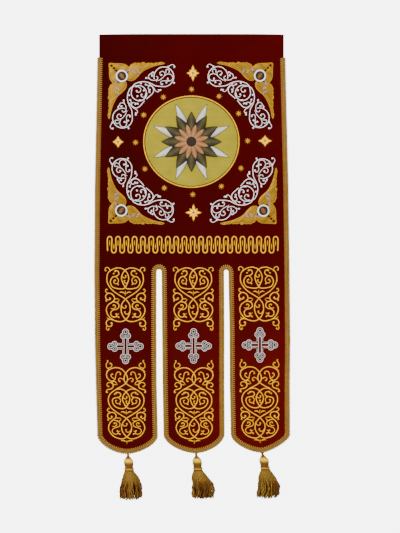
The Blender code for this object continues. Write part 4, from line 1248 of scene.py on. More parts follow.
class BANNER_OT_braid(bpy.types.Operator):
    """Sew the gold galloon with its ribs and picots along the cut edge"""

    bl_idname = "banner.braid"
    bl_label = "Edge Braid"

    # Where the picots stand out, from one notch to the next.
    PICOT = (0.0, 0.0, 0.85, 1.0, 0.85, 0.0)
    OUTER_PICOT = 2.2
    INNER_PICOT = 3.5
    # A row runs along the braid at a share of its width. Its picots reach inwards or outwards, and
    # its stitches are darker between the picots, or at them where the beat is below zero.
    # A row's tone is painted shade where it is low: in the groove down the braid's middle and at its outer foot.
    Row = namedtuple("Row", "share height tone picot beat")
    ROWS = (
        Row(0.00, 0.05, 0.60, -OUTER_PICOT, 0.0),
        Row(0.00, 1.10, 0.95, -OUTER_PICOT, 0.0),
        Row(0.10, 1.80, 0.95, 0.0, 0.8),
        Row(0.26, 2.20, 1.15, 0.0, -0.4),
        Row(0.41, 1.90, 1.00, 0.0, 0.4),
        Row(0.50, 1.30, 0.30, 0.0, 0.0),
        Row(0.59, 1.90, 1.00, 0.0, -0.4),
        Row(0.74, 2.20, 1.15, 0.0, 0.4),
        Row(0.90, 1.80, 0.80, 0.0, 0.9),
        Row(1.00, 1.20, 0.90, 0.0, 0.9),
        Row(1.00, 1.10, 1.80, INNER_PICOT, 0.0),
        Row(1.00, 0.05, 1.40, INNER_PICOT, 0.0),
    )

    def execute(self, context):
        sizes = context.scene.banner_sizes
        body = sizes.braid_width / MM - self.INNER_PICOT
        beat = len(self.PICOT)
        step = sizes.picot_pitch / MM / beat
        edge = self.spaced(cut_edge(0.5), body, step)
        inward = sideways(edge)
        count, ring = len(edge), len(self.ROWS)
        number = np.arange(count)
        tooth = np.array(self.PICOT)[number % beat]
        share, height, tone, picot, beats = (np.array(column, float) for column in zip(*self.ROWS))
        outside = eased((np.abs(edge[:, 0]) - 110.0) / 80.0)
        overhang = 0.8 + 0.4 * outside
        reach = np.where(picot > 0, 1.0, 0.25 + 0.75 * outside[:, None])
        across = share * body + picot * tooth[:, None] * reach - overhang[:, None]
        flat = edge[:, None, :] + inward[:, None, :] * across[:, :, None]
        dice = np.random.default_rng(5)
        between_picots = (tooth == 0)[:, None]
        dulled = np.where(beats > 0, between_picots, ~between_picots)
        tone = tone * (1 - np.abs(beats) * dulled) * dice.uniform(0.8, 1.0, (count, 1))
        rise = SUNK + height * np.where(height > 1.5, 1 - 0.08 * (number[:, None] % beat == 0), 1.0)
        corners = np.dstack((flat[:, :, 0], -flat[:, :, 1], rise)).reshape(-1, 3)
        places = np.broadcast_to(share * body, (count, ring))
        run = np.broadcast_to((number * step)[:, None], (count, ring))
        lays = np.dstack((places, run, tone)).reshape(-1, 3)
        faces = []
        for index in range(count - 1):
            here = index * ring
            for side in range(ring):
                after = (side + 1) % ring
                faces.append([here + side, here + after, here + ring + after, here + ring + side])
        faces.append(list(range(ring))[::-1])
        faces.append([(count - 1) * ring + side for side in range(ring)])
        item = object_from("gold_galloon", corners, faces, lays)
        hang(item)
        keep(item, "edge_braid", "gold_braid", braid_material(context.scene.banner_colours), 50.0)
        return {"FINISHED"}

    def spaced(self, edge, body, step):
        """The edge's points, a step apart where the braid's inner side lies."""
        inner = edge + sideways(edge) * body
        lengths = np.concatenate(([0.0], np.cumsum(np.linalg.norm(np.diff(inner, axis=0), axis=1))))
        places = np.linspace(0.0, lengths[-1], round(lengths[-1] / step) + 1)
        return np.column_stack([np.interp(places, lengths, edge[:, axis]) for axis in (0, 1)])


class BANNER_OT_wings(bpy.types.Operator):
    """Stitch the four corner ornaments, each a pair of wings and a pair of leaves"""

    bl_idname = "banner.wings"
    bl_label = "Corner Wings"

    # Feathers along a wing's outer edge, each from a notch to the next with its bulge.
    Feather = namedtuple("Feather", "start end bulge")
    FEATHERS = (
        Feather((53.4, 9.1), (62.3, 1.6), 2.2),
        Feather((62.3, 1.6), (72.2, 0.4), 2.2),
        Feather((72.2, 0.4), (81.5, 0.9), 2.0),
        Feather((81.5, 0.9), (92.9, -2.2), 1.5),
        Feather((88.4, 3.0), (97.6, 0.6), 0.8),
        Feather((97.6, 0.6), (106.4, 0.4), 1.6),
        Feather((106.4, 0.4), (115.6, 1.1), 1.8),
        Feather((115.6, 1.1), (127.0, -1.0), 1.3),
        Feather((127.0, -1.0), (144.8, 0.0), 2.4),
    )
    UNDERSIDE = ((144.8, 0.0), (137.3, 2.3), (129.5, 3.6), (113.9, 7.8), (98.3, 14.3), (85.3, 22.1), (73.6, 35.1),
        (65.0, 42.6), (55.4, 45.2), (47.6, 42.2), (49.4, 32.0), (51.4, 20.0), (53.4, 9.1))
    LEAF = ((0.4, 0.4), (5.0, -0.6), (13.4, 0.3), (32.4, 0.8), (42.0, 3.0), (48.5, 7.6), (53.4, 13.0), (43.9, 22.0),
        (30.0, 29.0), (16.0, 15.4), (6.0, 5.6))
    ZIGZAGS = (
        ((45.6, 21.4), (50.4, 16.6), (52.2, 20.0), (56.4, 14.6)),
        ((60.0, 18.4), (65.8, 19.4), (63.8, 23.8), (69.6, 25.0)),
        ((71.4, 16.0), (76.4, 18.6), (74.6, 22.6), (82.6, 24.6)),
    )
    # The slit between the two leaves, where the velvet shows between its tacking stitches.
    DASHES = ((3.4, 8.6), (10.0, 15.2), (16.3, 21.4))
    SLIT_WIDTH = 4.6

    def execute(self, context):
        for corner in CORNERS:
            self.corner = corner
            pieces = []
            edgings = []
            leaf = evenly(smooth_line(self.LEAF, 2.0, closed=True), 2.2)
            for flipped in (False, True):
                pieces.append(self.shape("wing", self.wing_outline(), flipped, 0.9, 2.4, 7.0))
                pieces.append(self.shape("leaf", leaf, flipped, 0.8, 2.3, 9.0))
                for outline in (self.wing_outline(), leaf):
                    line = evenly(self.seated(np.vstack((outline, outline[:1])), flipped), 1.6)
                    edgings.append((line, np.full(len(line), 0.95)))
            border = couched(f"gold_edging_{corner.name}", edgings, SUNK + 0.5, 0.6)
            hang(border)
            keep(border, None, "gold_cord", thread_material(GOLD_STAR), 60.0)
            item = joined(f"stitched_wings_{corner.name}", pieces)
            hang(item)
            keep(item, f"corner_wings_{corner.name}", "gold_fill", thread_material(GOLD_SATIN))
            cords = []
            for flipped in (False, True):
                for knots in self.ZIGZAGS:
                    line = evenly(self.seated(np.array(knots), flipped), 1.0)
                    cords.append((line, np.full(len(line), 1.7)))
            marks = couched(f"silver_zigzags_{corner.name}", cords, SUNK + 1.7, 0.4)
            hang(marks)
            keep(marks, None, "silver_cord", thread_material(SILVER_LILAC), 60.0)
            cords = []
            for start, end in self.DASHES:
                line = evenly(self.seated(np.array(((start, start), (end, end))), False), 1.0)
                cords.append((line, cord_widths(line, self.SLIT_WIDTH, "round")))
            slit = couched(f"velvet_slit_{corner.name}", cords, SUNK + 2.0, 0.3)
            hang(slit)
            keep(slit, None, "velvet", velvet_material(context.scene.banner_colours), 60.0)
        return {"FINISHED"}

    def wing_outline(self):
        """The scalloped feather edge out to the tip and the smooth edge back."""
        line = []
        for feather in self.FEATHERS:
            start, end = np.array(feather.start), np.array(feather.end)
            along = end - start
            out = np.array((along[1], -along[0])) / np.linalg.norm(along)
            part = np.linspace(0, 1, max(4, round(np.linalg.norm(along) / 1.8)) + 1)[:-1]
            line.append(start + np.outer(part, along) + np.outer(np.sin(np.pi * part) * feather.bulge, out))
            if feather.end == (92.9, -2.2):
                line.append(end[None, :])
        line.append(evenly(smooth_line(self.UNDERSIDE, 1.5), 2.2)[:-1])
        return np.vstack(line)

    def seated(self, points, flipped):
        """Points of the corner ornament at its place on the cloth."""
        along, off = (points[:, 1], points[:, 0]) if flipped else (points[:, 0], points[:, 1])
        corner = self.corner
        return np.column_stack((corner.x + corner.across * along, corner.drop + corner.down * off))

    def shape(self, part, outline, flipped, rim, crown, soft):
        """One wing or leaf, padded and stitched at a slant."""
        corner = self.corner

        def lay(points):
            along = (points[:, 0] - corner.x) * corner.across
            off = (points[:, 1] - corner.drop) * corner.down
            if flipped:
                along, off = off, along
            return np.column_stack((np.zeros(len(points)), along * 0.74 + off * 0.66))

        return padded_shape(f"{part}_{corner.name}", self.seated(outline, flipped), 2.2, SUNK, rim, crown, soft, lay)


class BANNER_OT_roundels(bpy.types.Operator):
    """Set a silver ring round a dark button with a bud on each corner ornament"""

    bl_idname = "banner.roundels"
    bl_label = "Corner Roundels"

    def execute(self, context):
        for corner in CORNERS:
            x = (corner.x + corner.across * ROUNDEL_OFFSET) * MM
            y = -(corner.drop + corner.down * ROUNDEL_OFFSET) * MM
            self.ring(x, y)
            ring = bpy.context.object
            mark(ring, (x / MM, y / MM), RING_RADIUS, RING_THICK)
            hang(ring)
            ring.name = f"silver_ring_{corner.name}"
            keep(ring, f"corner_roundel_{corner.name}", "silver_cord", thread_material(SILVER_CORD))
            bpy.ops.object.select_all(action="DESELECT")
            bpy.ops.mesh.primitive_uv_sphere_add(segments=32, ring_count=12, radius=0.0128, location=(x, y, 3.2 * MM))
            ground = bpy.context.object
            bpy.ops.transform.resize(value=(1, 1, 0.16))
            apply_place(ground)
            mark(ground)
            hang(ground)
            ground.name = f"dark_ground_{corner.name}"
            keep(ground, None, "dark_thread", thread_material(DARK_THREAD))
            bpy.ops.object.select_all(action="DESELECT")
            bpy.ops.mesh.primitive_uv_sphere_add(segments=24, ring_count=12, radius=0.0088, location=(x, y, 4.4 * MM))
            bud = bpy.context.object
            bpy.ops.transform.resize(value=(0.56, 0.98, 0.2))
            apply_place(bud)
            lean = math.radians(35) * corner.across * corner.down
            bpy.ops.transform.rotate(value=-lean, orient_axis="Z", center_override=(x, y, 4.4 * MM))
            apply_place(bud)
            mark(bud)
            hang(bud)
            bud.name = f"tan_bud_{corner.name}"
            keep(bud, None, "tan_thread", thread_material(RUSSET_THREAD))
        return {"FINISHED"}

    def ring(self, x, y):
        """A flattened torus."""
        bpy.ops.object.select_all(action="DESELECT")
        bpy.ops.mesh.primitive_torus_add(location=(x, y, 4.0 * MM), major_radius=RING_RADIUS * MM,
            minor_radius=RING_THICK * MM, major_segments=48, minor_segments=10)
        bpy.ops.transform.resize(value=(1, 1, 0.55))
        apply_place(bpy.context.object)


def mark(item, centre=None, radius=0.0, thick=1.0):
    """Lay straight threads over a piece that has none yet, or threads across a ring."""
    mesh = item.data
    corners = corners_of(mesh) / MM
    across = np.zeros(len(corners))
    if centre:
        # Across a ring, X grows towards its sides, where the thread material paints shade.
        across = (np.hypot(corners[:, 0] - centre[0], corners[:, 1] - centre[1]) - radius) / thick
    kept = mesh.attributes.new("lay", "FLOAT_VECTOR", "POINT")
    rows = np.column_stack((across, (corners[:, 0] + corners[:, 1]) * 0.7, np.zeros(len(corners))))
    kept.data.foreach_set("vector", rows.ravel())


class BANNER_OT_scrolls(bpy.types.Operator):
    """Couch the four silver scroll bands between the corners and the medallion"""

    bl_idname = "banner.scrolls"
    bl_label = "Silver Scrolls"

    def execute(self, context):
        step = context.scene.banner_sizes.stitch_step / MM
        half = math.sqrt(0.5)
        for corner in CORNERS:
            along = np.array((corner.across, -corner.down)) * half
            inwards = np.array((corner.across, corner.down)) * half
            middle = np.array((corner.x, corner.drop)) + np.array((corner.across, corner.down)) * SCROLL_OFFSET
            cords = []
            for side in (1, -1):

                def seat(line):
                    return middle + np.outer(line[:, 0] * side, along) + np.outer(line[:, 1], inwards)

                loop = arc((SCROLL_LOOP_CENTRE, 0.0), SCROLL_LOOP_RADIUS, SCROLL_LOOP_FROM, SCROLL_LOOP_TO, 6.0)
                main = Cord("round", MAIN, [*loop[:-1], loop[-1], *SCROLL_STRAND])
                cords += cords_on((main, *SCROLL_CORDS), seat, step, SILVER_SHARE)
                if side == 1:
                    cords += cords_on(SCROLL_MIDDLE, seat, step, SILVER_SHARE)
            item = couched(f"couched_scroll_{corner.name}", cords, SUNK)
            hang(item)
            keep(item, f"silver_scroll_{corner.name}", "silver_cord", thread_material(SILVER_CORD), 60.0)
        return {"FINISHED"}


class BANNER_OT_panels(bpy.types.Operator):
    """Couch the three upper and three lower gold scroll panels on the tails"""

    bl_idname = "banner.panels"
    bl_label = "Gold Panels"

    def execute(self, context):
        step = context.scene.banner_sizes.stitch_step / MM
        for panel in PANELS:
            for level, rows, lens, (x_top, x_bottom), drop, length in (
                ("upper", UPPER_CORDS, UPPER_LENS, panel.upper_x, panel.upper_drop, UPPER_LENGTH),
                ("lower", LOWER_CORDS, LOWER_LENS, panel.lower_x, panel.lower_drop, LOWER_LENGTH),
            ):
                cords = []
                for side in (1, -1):

                    def seat(line):
                        middle = x_top + (x_bottom - x_top) * line[:, 1] / length
                        return np.column_stack((middle + side * line[:, 0], drop + line[:, 1]))

                    cords += cords_on(rows, seat, step)
                    if side == 1:
                        cords += cords_on(lens, seat, step)
                item = couched(f"couched_panel_{level}_{panel.tail}", cords, SUNK)
                hang(item)
                keep(item, f"{level}_panel_{panel.tail}", "gold_cord", thread_material(GOLD_CORD), 60.0)
        return {"FINISHED"}


class BANNER_OT_crosses(bpy.types.Operator):
    """Couch a silver cross with looped ends on each tail"""

    bl_idname = "banner.crosses"
    bl_label = "Silver Crosses"

    HALF_WIDE = 47.2
    HALF_HIGH = 46.0
    END_LOOP = 9.0
    SIDE_LOOP = 7.9
    SIDE_OUT = 6.2
    SIDE_BACK = 9.8
    # A lobe's rings: a bright rim, a dark line that is partly the velvet and partly painted shade, and a bright core.
    RIM = 2.0
    LINE = 2.4
    # The strands of an arm: how far to each side of its middle, how wide, and whether it is a dark line, which stands
    # partly for the velvet between bright strands and partly for painted shade.
    Strand = namedtuple("Strand", "aside width dark")
    STRANDS = (
        Strand(3.8, 1.8, False),
        Strand(5.6, 2.0, True),
        Strand(7.3, 1.5, False),
    )

    def execute(self, context):
        step = context.scene.banner_sizes.stitch_step / MM
        for panel in PANELS:
            bright, dark = [], []
            for reach, turn in ((self.HALF_WIDE, 0), (self.HALF_HIGH, 90), (self.HALF_WIDE, 180), (self.HALF_HIGH, 270)):
                self.arm(panel, reach, math.radians(turn), step, bright, dark)
            item = couched(f"couched_cross_{panel.tail}", bright, SUNK)
            hang(item)
            keep(item, f"cross_{panel.tail}", "silver_cord", thread_material(SILVER_GREY), 60.0)
            lines = couched(f"dark_lines_{panel.tail}", dark, SUNK + 0.5, 0.6)
            hang(lines)
            keep(lines, None, "dark_thread", thread_material(SHADOW_THREAD), 60.0)
        return {"FINISHED"}

    def arm(self, panel, reach, turn, step, bright, dark):
        """The strands of an arm, and a ring in a ring for each of its three lobes."""
        out = np.array((math.cos(turn), math.sin(turn)))
        aside = np.array((-out[1], out[0]))
        middle = np.array((panel.cross_x, panel.cross_drop))
        end = reach - self.END_LOOP
        upright = abs(out[1]) > 0.5
        for strand in self.STRANDS:
            inner = strand.aside < 5
            start = -1.0 if inner and upright else 5.2 if inner else 8.0
            stop = end - self.SIDE_BACK - self.SIDE_LOOP + (2.4 if inner else 0.6)
            for side in (-strand.aside, strand.aside):
                knots = [middle + out * start + aside * side, middle + out * stop + aside * side]
                line = evenly(np.array(knots), step)
                (dark if strand.dark else bright).append((line, cord_widths(line, strand.width, "round")))
        for far, off, radius, core in (
            (end, 0.0, self.END_LOOP, 1.6),
            (end - self.SIDE_BACK, self.SIDE_OUT, self.SIDE_LOOP, 1.4),
            (end - self.SIDE_BACK, -self.SIDE_OUT, self.SIDE_LOOP, 1.4),
        ):
            centre = middle + out * far + aside * off
            for width, inset, cords in (
                (self.RIM, 0.0, bright),
                (self.LINE, self.RIM, dark),
                (core, self.RIM + self.LINE - 0.2, bright),
            ):
                ring = arc(centre, radius - inset - width / 2, 0, 360, step)
                cords.append((ring, np.full(len(ring), width / 2)))


class BANNER_OT_frieze(bpy.types.Operator):
    """Couch the gold frieze above the tails"""

    bl_idname = "banner.frieze"
    bl_label = "Gold Frieze"

    def execute(self, context):
        step = context.scene.banner_sizes.stitch_step / MM
        pitch = (FRIEZE_RIGHT - FRIEZE_LEFT) / (FRIEZE_UPRIGHTS - 1)
        knots = []
        for upright in range(FRIEZE_UPRIGHTS):
            x = FRIEZE_LEFT + pitch * upright
            ends = [(x, FRIEZE_TOP + 5), (x, FRIEZE_BOTTOM - 5)]
            knots += ends if upright % 2 else ends[::-1]
        line = evenly(smooth_line(knots, 2.0), step)
        cords = [(line, cord_widths(line, 4.6, "round"))]
        for gap in range(FRIEZE_UPRIGHTS - 1):
            x = FRIEZE_LEFT + pitch * (gap + 0.5)
            middle = (FRIEZE_TOP + FRIEZE_BOTTOM) / 2 + (4.5 if gap % 2 else -4.5)
            line = evenly(np.array(((x, middle - 8.5), (x, middle + 8.5))), step)
            cords.append((line, cord_widths(line, 2.8, "leaf")))
        item = couched("couched_frieze", cords, SUNK)
        hang(item)
        keep(item, "frieze", "gold_cord", thread_material(GOLD_CORD), 60.0)
        return {"FINISHED"}


def petal_outline(centre, turn, start, end, half, step=2.0):
    """A leaf shape that points away from a centre."""
    out = np.array((math.cos(turn), math.sin(turn)))
    aside = np.array((-out[1], out[0]))
    pieces = max(6, round((end - start) / step))
    part = np.linspace(0, 1, pieces + 1)
    wide = half * np.sin(np.pi * (0.18 + 0.82 * part))
    reach = start + (end - start) * part
    left = centre + np.outer(reach, out) + np.outer(wide, aside)
    right = centre + np.outer(reach, out) - np.outer(wide, aside)
    return np.vstack((left, right[-2::-1]))


class BANNER_OT_ornaments(bpy.types.Operator):
    """Stitch the four small leaf flowers round the medallion"""

    bl_idname = "banner.ornaments"
    bl_label = "Leaf Flowers"

    def execute(self, context):
        for flower in ORNAMENTS:
            pieces = []
            for leaf in range(8):
                turn = math.pi * leaf / 4
                share = 1.0 if leaf % 2 == 0 else 0.68
                reach = share * math.hypot(math.cos(turn) * flower.wide, math.sin(turn) * flower.high) / 2
                outline = petal_outline(np.array((flower.x, flower.drop)), turn, 1.0, reach, 4.6, 1.4)
                pieces.append(padded_shape(f"leaf_{leaf}", outline, 1.8, SUNK, 0.7, 2.2, 3.0))
            item = joined(f"leaf_flower_{flower.name}", pieces)
            hang(item)
            keep(item, f"ornament_{flower.name}", "gold_cord", thread_material(GOLD_CORD))
        return {"FINISHED"}


class BANNER_OT_stars(bpy.types.Operator):
    """Stitch the twelve eight-pointed stars"""

    bl_idname = "banner.stars"
    bl_label = "Stars"

    POINT = 8.5
    WAIST = 3.5

    def execute(self, context):
        for number, spot in enumerate(STARS):
            bpy.ops.object.select_all(action="DESELECT")
            bpy.ops.mesh.primitive_cone_add(vertices=16, radius1=self.POINT * MM, depth=1.4 * MM,
                location=(spot.x * MM, -spot.drop * MM, (SUNK + 0.9) * MM), rotation=(0, 0, 0))
            star = bpy.context.object
            corners = corners_of(star.data)
            turned = np.round(np.arctan2(corners[:, 1], corners[:, 0]) / (math.pi / 8)).astype(int)
            waist = (turned % 2 != 0) & (np.hypot(corners[:, 0], corners[:, 1]) > self.WAIST * MM)
            corners[waist, :2] *= self.WAIST / self.POINT
            star.data.vertices.foreach_set("co", corners.ravel())
            apply_place(star)
            mark(star)
            hang(star)
            star.name = f"stitched_star_{number + 1:02d}"
            keep(star, f"star_{number + 1:02d}", "gold_cord", thread_material(GOLD_STAR), 20.0)
        return {"FINISHED"}


def oval(wide, high, count):
    """An oval about the medallion's centre."""
    turns = np.linspace(0, 2 * np.pi, count, endpoint=False)
    return np.column_stack((MEDALLION_X + wide / 2 * np.cos(turns), MEDALLION_DROP + high / 2 * np.sin(turns)))


def field_material(colours):
    """Gold laid work: fine rows of stitches held by a brick pattern of small couching stitches."""
    found = bpy.data.materials.get("laid_gold")
    if found:
        return found
    material = bpy.data.materials.new("laid_gold")
    material.use_nodes = True
    tree = material.node_tree
    shader = tree.nodes["Principled BSDF"]
    shader.inputs["Roughness"].default_value = 0.6
    shader.inputs["Metallic"].default_value = 0.2
    shader.inputs["Specular IOR Level"].default_value = 0.06
    place = put(tree, "ShaderNodeTexCoord")
    parts = put(tree, "ShaderNodeSeparateXYZ")
    threads = placed_group(tree, thread_group(), Pitch=1.3)
    patches = placed_group(tree, patches_group(), Scale=22.0, Amount=0.10)
    shade = placed_group(tree, shade_group(), Colour=colours.field[:] + (1.0,))
    bump = put(tree, "ShaderNodeBump", {"Strength": 0.5, "Distance": 0.0004})
    wire(tree, (place.outputs["Object"], parts.inputs["Vector"]))
    run = maths(tree, "MULTIPLY", parts.outputs["Z"], 1000.0)
    # Painted shade in the grooves between the laid threads.
    factor = maths(tree, "MULTIPLY_ADD", threads.outputs["Groove"], -0.25, 1.05)
    toned = maths(tree, "MULTIPLY_ADD", threads.outputs["Tone"], 0.12, 0.94)
    factor = maths(tree, "MULTIPLY", maths(tree, "MULTIPLY", factor, toned), patches.outputs["Factor"])
    speckle = maths(tree, "MULTIPLY_ADD", patches.outputs["Fine"], 0.9, 0.55)
    factor = maths(tree, "MULTIPLY", factor, speckle)
    slanted = maths(tree, "MULTIPLY_ADD", parts.outputs["X"], -1000.0, run)
    ribs = placed_group(tree, thread_group(), Pitch=8.0)
    tree.links.new(slanted, ribs.inputs["Run"])
    factor = maths(tree, "MULTIPLY", factor, maths(tree, "MULTIPLY_ADD", ribs.outputs["Groove"], -0.14, 1.02))
    wire(
        tree,
        (run, threads.inputs["Run"]),
        (factor, shade.inputs["Factor"]),
        (shade.outputs["Colour"], shader.inputs["Base Color"]),
        (threads.outputs["Height"], bump.inputs["Height"]),
        (bump.outputs["Normal"], shader.inputs["Normal"]),
    )
    return material


class BANNER_OT_medallion(bpy.types.Operator):
    """Stitch the medallion's gold field and couch the cord round it"""

    bl_idname = "banner.medallion"
    bl_label = "Medallion"

    def execute(self, context):
        step = context.scene.banner_sizes.stitch_step / MM
        centre = oval(MEDALLION_WIDE - RIM_WIDTH, MEDALLION_HIGH - RIM_WIDTH, 300)
        ring = np.vstack((centre, centre[:1]))
        line = evenly(ring, step)
        rim = couched("medallion_cord", [(line, np.full(len(line), RIM_WIDTH / 2))], SUNK, 0.5)
        hang(rim)
        keep(rim, "medallion_rim", "gold_cord", thread_material(GOLD_CORD), 60.0)
        inner = oval(MEDALLION_WIDE - 2 * RIM_WIDTH - 0.4, MEDALLION_HIGH - 2 * RIM_WIDTH - 0.4, 180)
        field = padded_shape("gold_ground", inner, 6.0, SUNK, 0.7, 1.5, 3.0)
        hang(field)
        keep(field, "medallion_field", "gold_field", field_material(context.scene.banner_colours))
        dark = oval(MEDALLION_WIDE - 2 * RIM_WIDTH - 1.2, MEDALLION_HIGH - 2 * RIM_WIDTH - 1.2, 300)
        line = evenly(np.vstack((dark, dark[:1])), step)
        outline = couched("dark_outline", [(line, np.full(len(line), 0.8))], SUNK + 0.9, 0.6)
        hang(outline)
        keep(outline, None, "dark_thread", thread_material(DARK_THREAD), 60.0)
        return {"FINISHED"}


class BANNER_OT_rosette(bpy.types.Operator):
    """Stitch the layered rosette on the medallion: rays, leaves, petals and a button"""

    bl_idname = "banner.rosette"
    bl_label = "Rosette"

    def execute(self, context):
        centre = np.array((MEDALLION_X, MEDALLION_DROP))
        for name, count, start, end, half, shift, back, look, slot in (
            ("rays", 8, 16.0, 106.0, 11.0, 0.5, LAYER_2 - 0.6, SILVER_SATIN, "silver_cord"),
            ("leaves", 12, 14.0, 78.0, 13.5, 0.0, LAYER_3, OLIVE_THREAD, "olive_thread"),
            ("petals", 12, 8.0, 47.0, 8.6, 0.5, LAYER_4, TAN_THREAD, "tan_thread"),
        ):
            pieces = []
            cords = []
            for number in range(count):
                turn = 2 * math.pi * (number + shift) / count
                outline = petal_outline(centre, turn, start, end, half)
                line = evenly(np.vstack((outline, outline[:1])), 2.0)
                cords.append((line, np.full(len(line), 0.65)))

                def lay(points):
                    out = np.array((math.cos(turn), math.sin(turn)))
                    along = (points - centre) @ out
                    aside = (points - centre) @ np.array((-out[1], out[0]))
                    # X grows towards a petal's sides, where the thread material paints shade.
                    return np.column_stack((np.clip(aside / half, -1, 1), along + np.abs(aside) * 0.8))

                piece = padded_shape(f"{name}_{number}", outline, 3.2, back - 0.6, 0.6, 1.9, half * 0.7, lay)
                pieces.append(piece)
            item = joined(f"rosette_{name}", pieces)
            hang(item)
            keep(item, f"medallion_{name}", slot, thread_material(look))
            edging = couched(f"dark_edging_{name}", cords, back - 0.4, 0.8)
            hang(edging)
            keep(edging, None, "dark_thread", thread_material(DARK_THREAD), 60.0)
        bpy.ops.object.select_all(action="DESELECT")
        bpy.ops.mesh.primitive_uv_sphere_add(segments=36, ring_count=14, radius=0.013,
            location=(MEDALLION_X * MM, -MEDALLION_DROP * MM, LAYER_5 * MM))
        bpy.ops.transform.resize(value=(1, 1, 0.16))
        button = bpy.context.object
        apply_place(button)
        mark(button)
        hang(button)
        button.name = "rosette_button"
        keep(button, "medallion_button", "dark_thread", thread_material(DARK_THREAD))
        return {"FINISHED"}


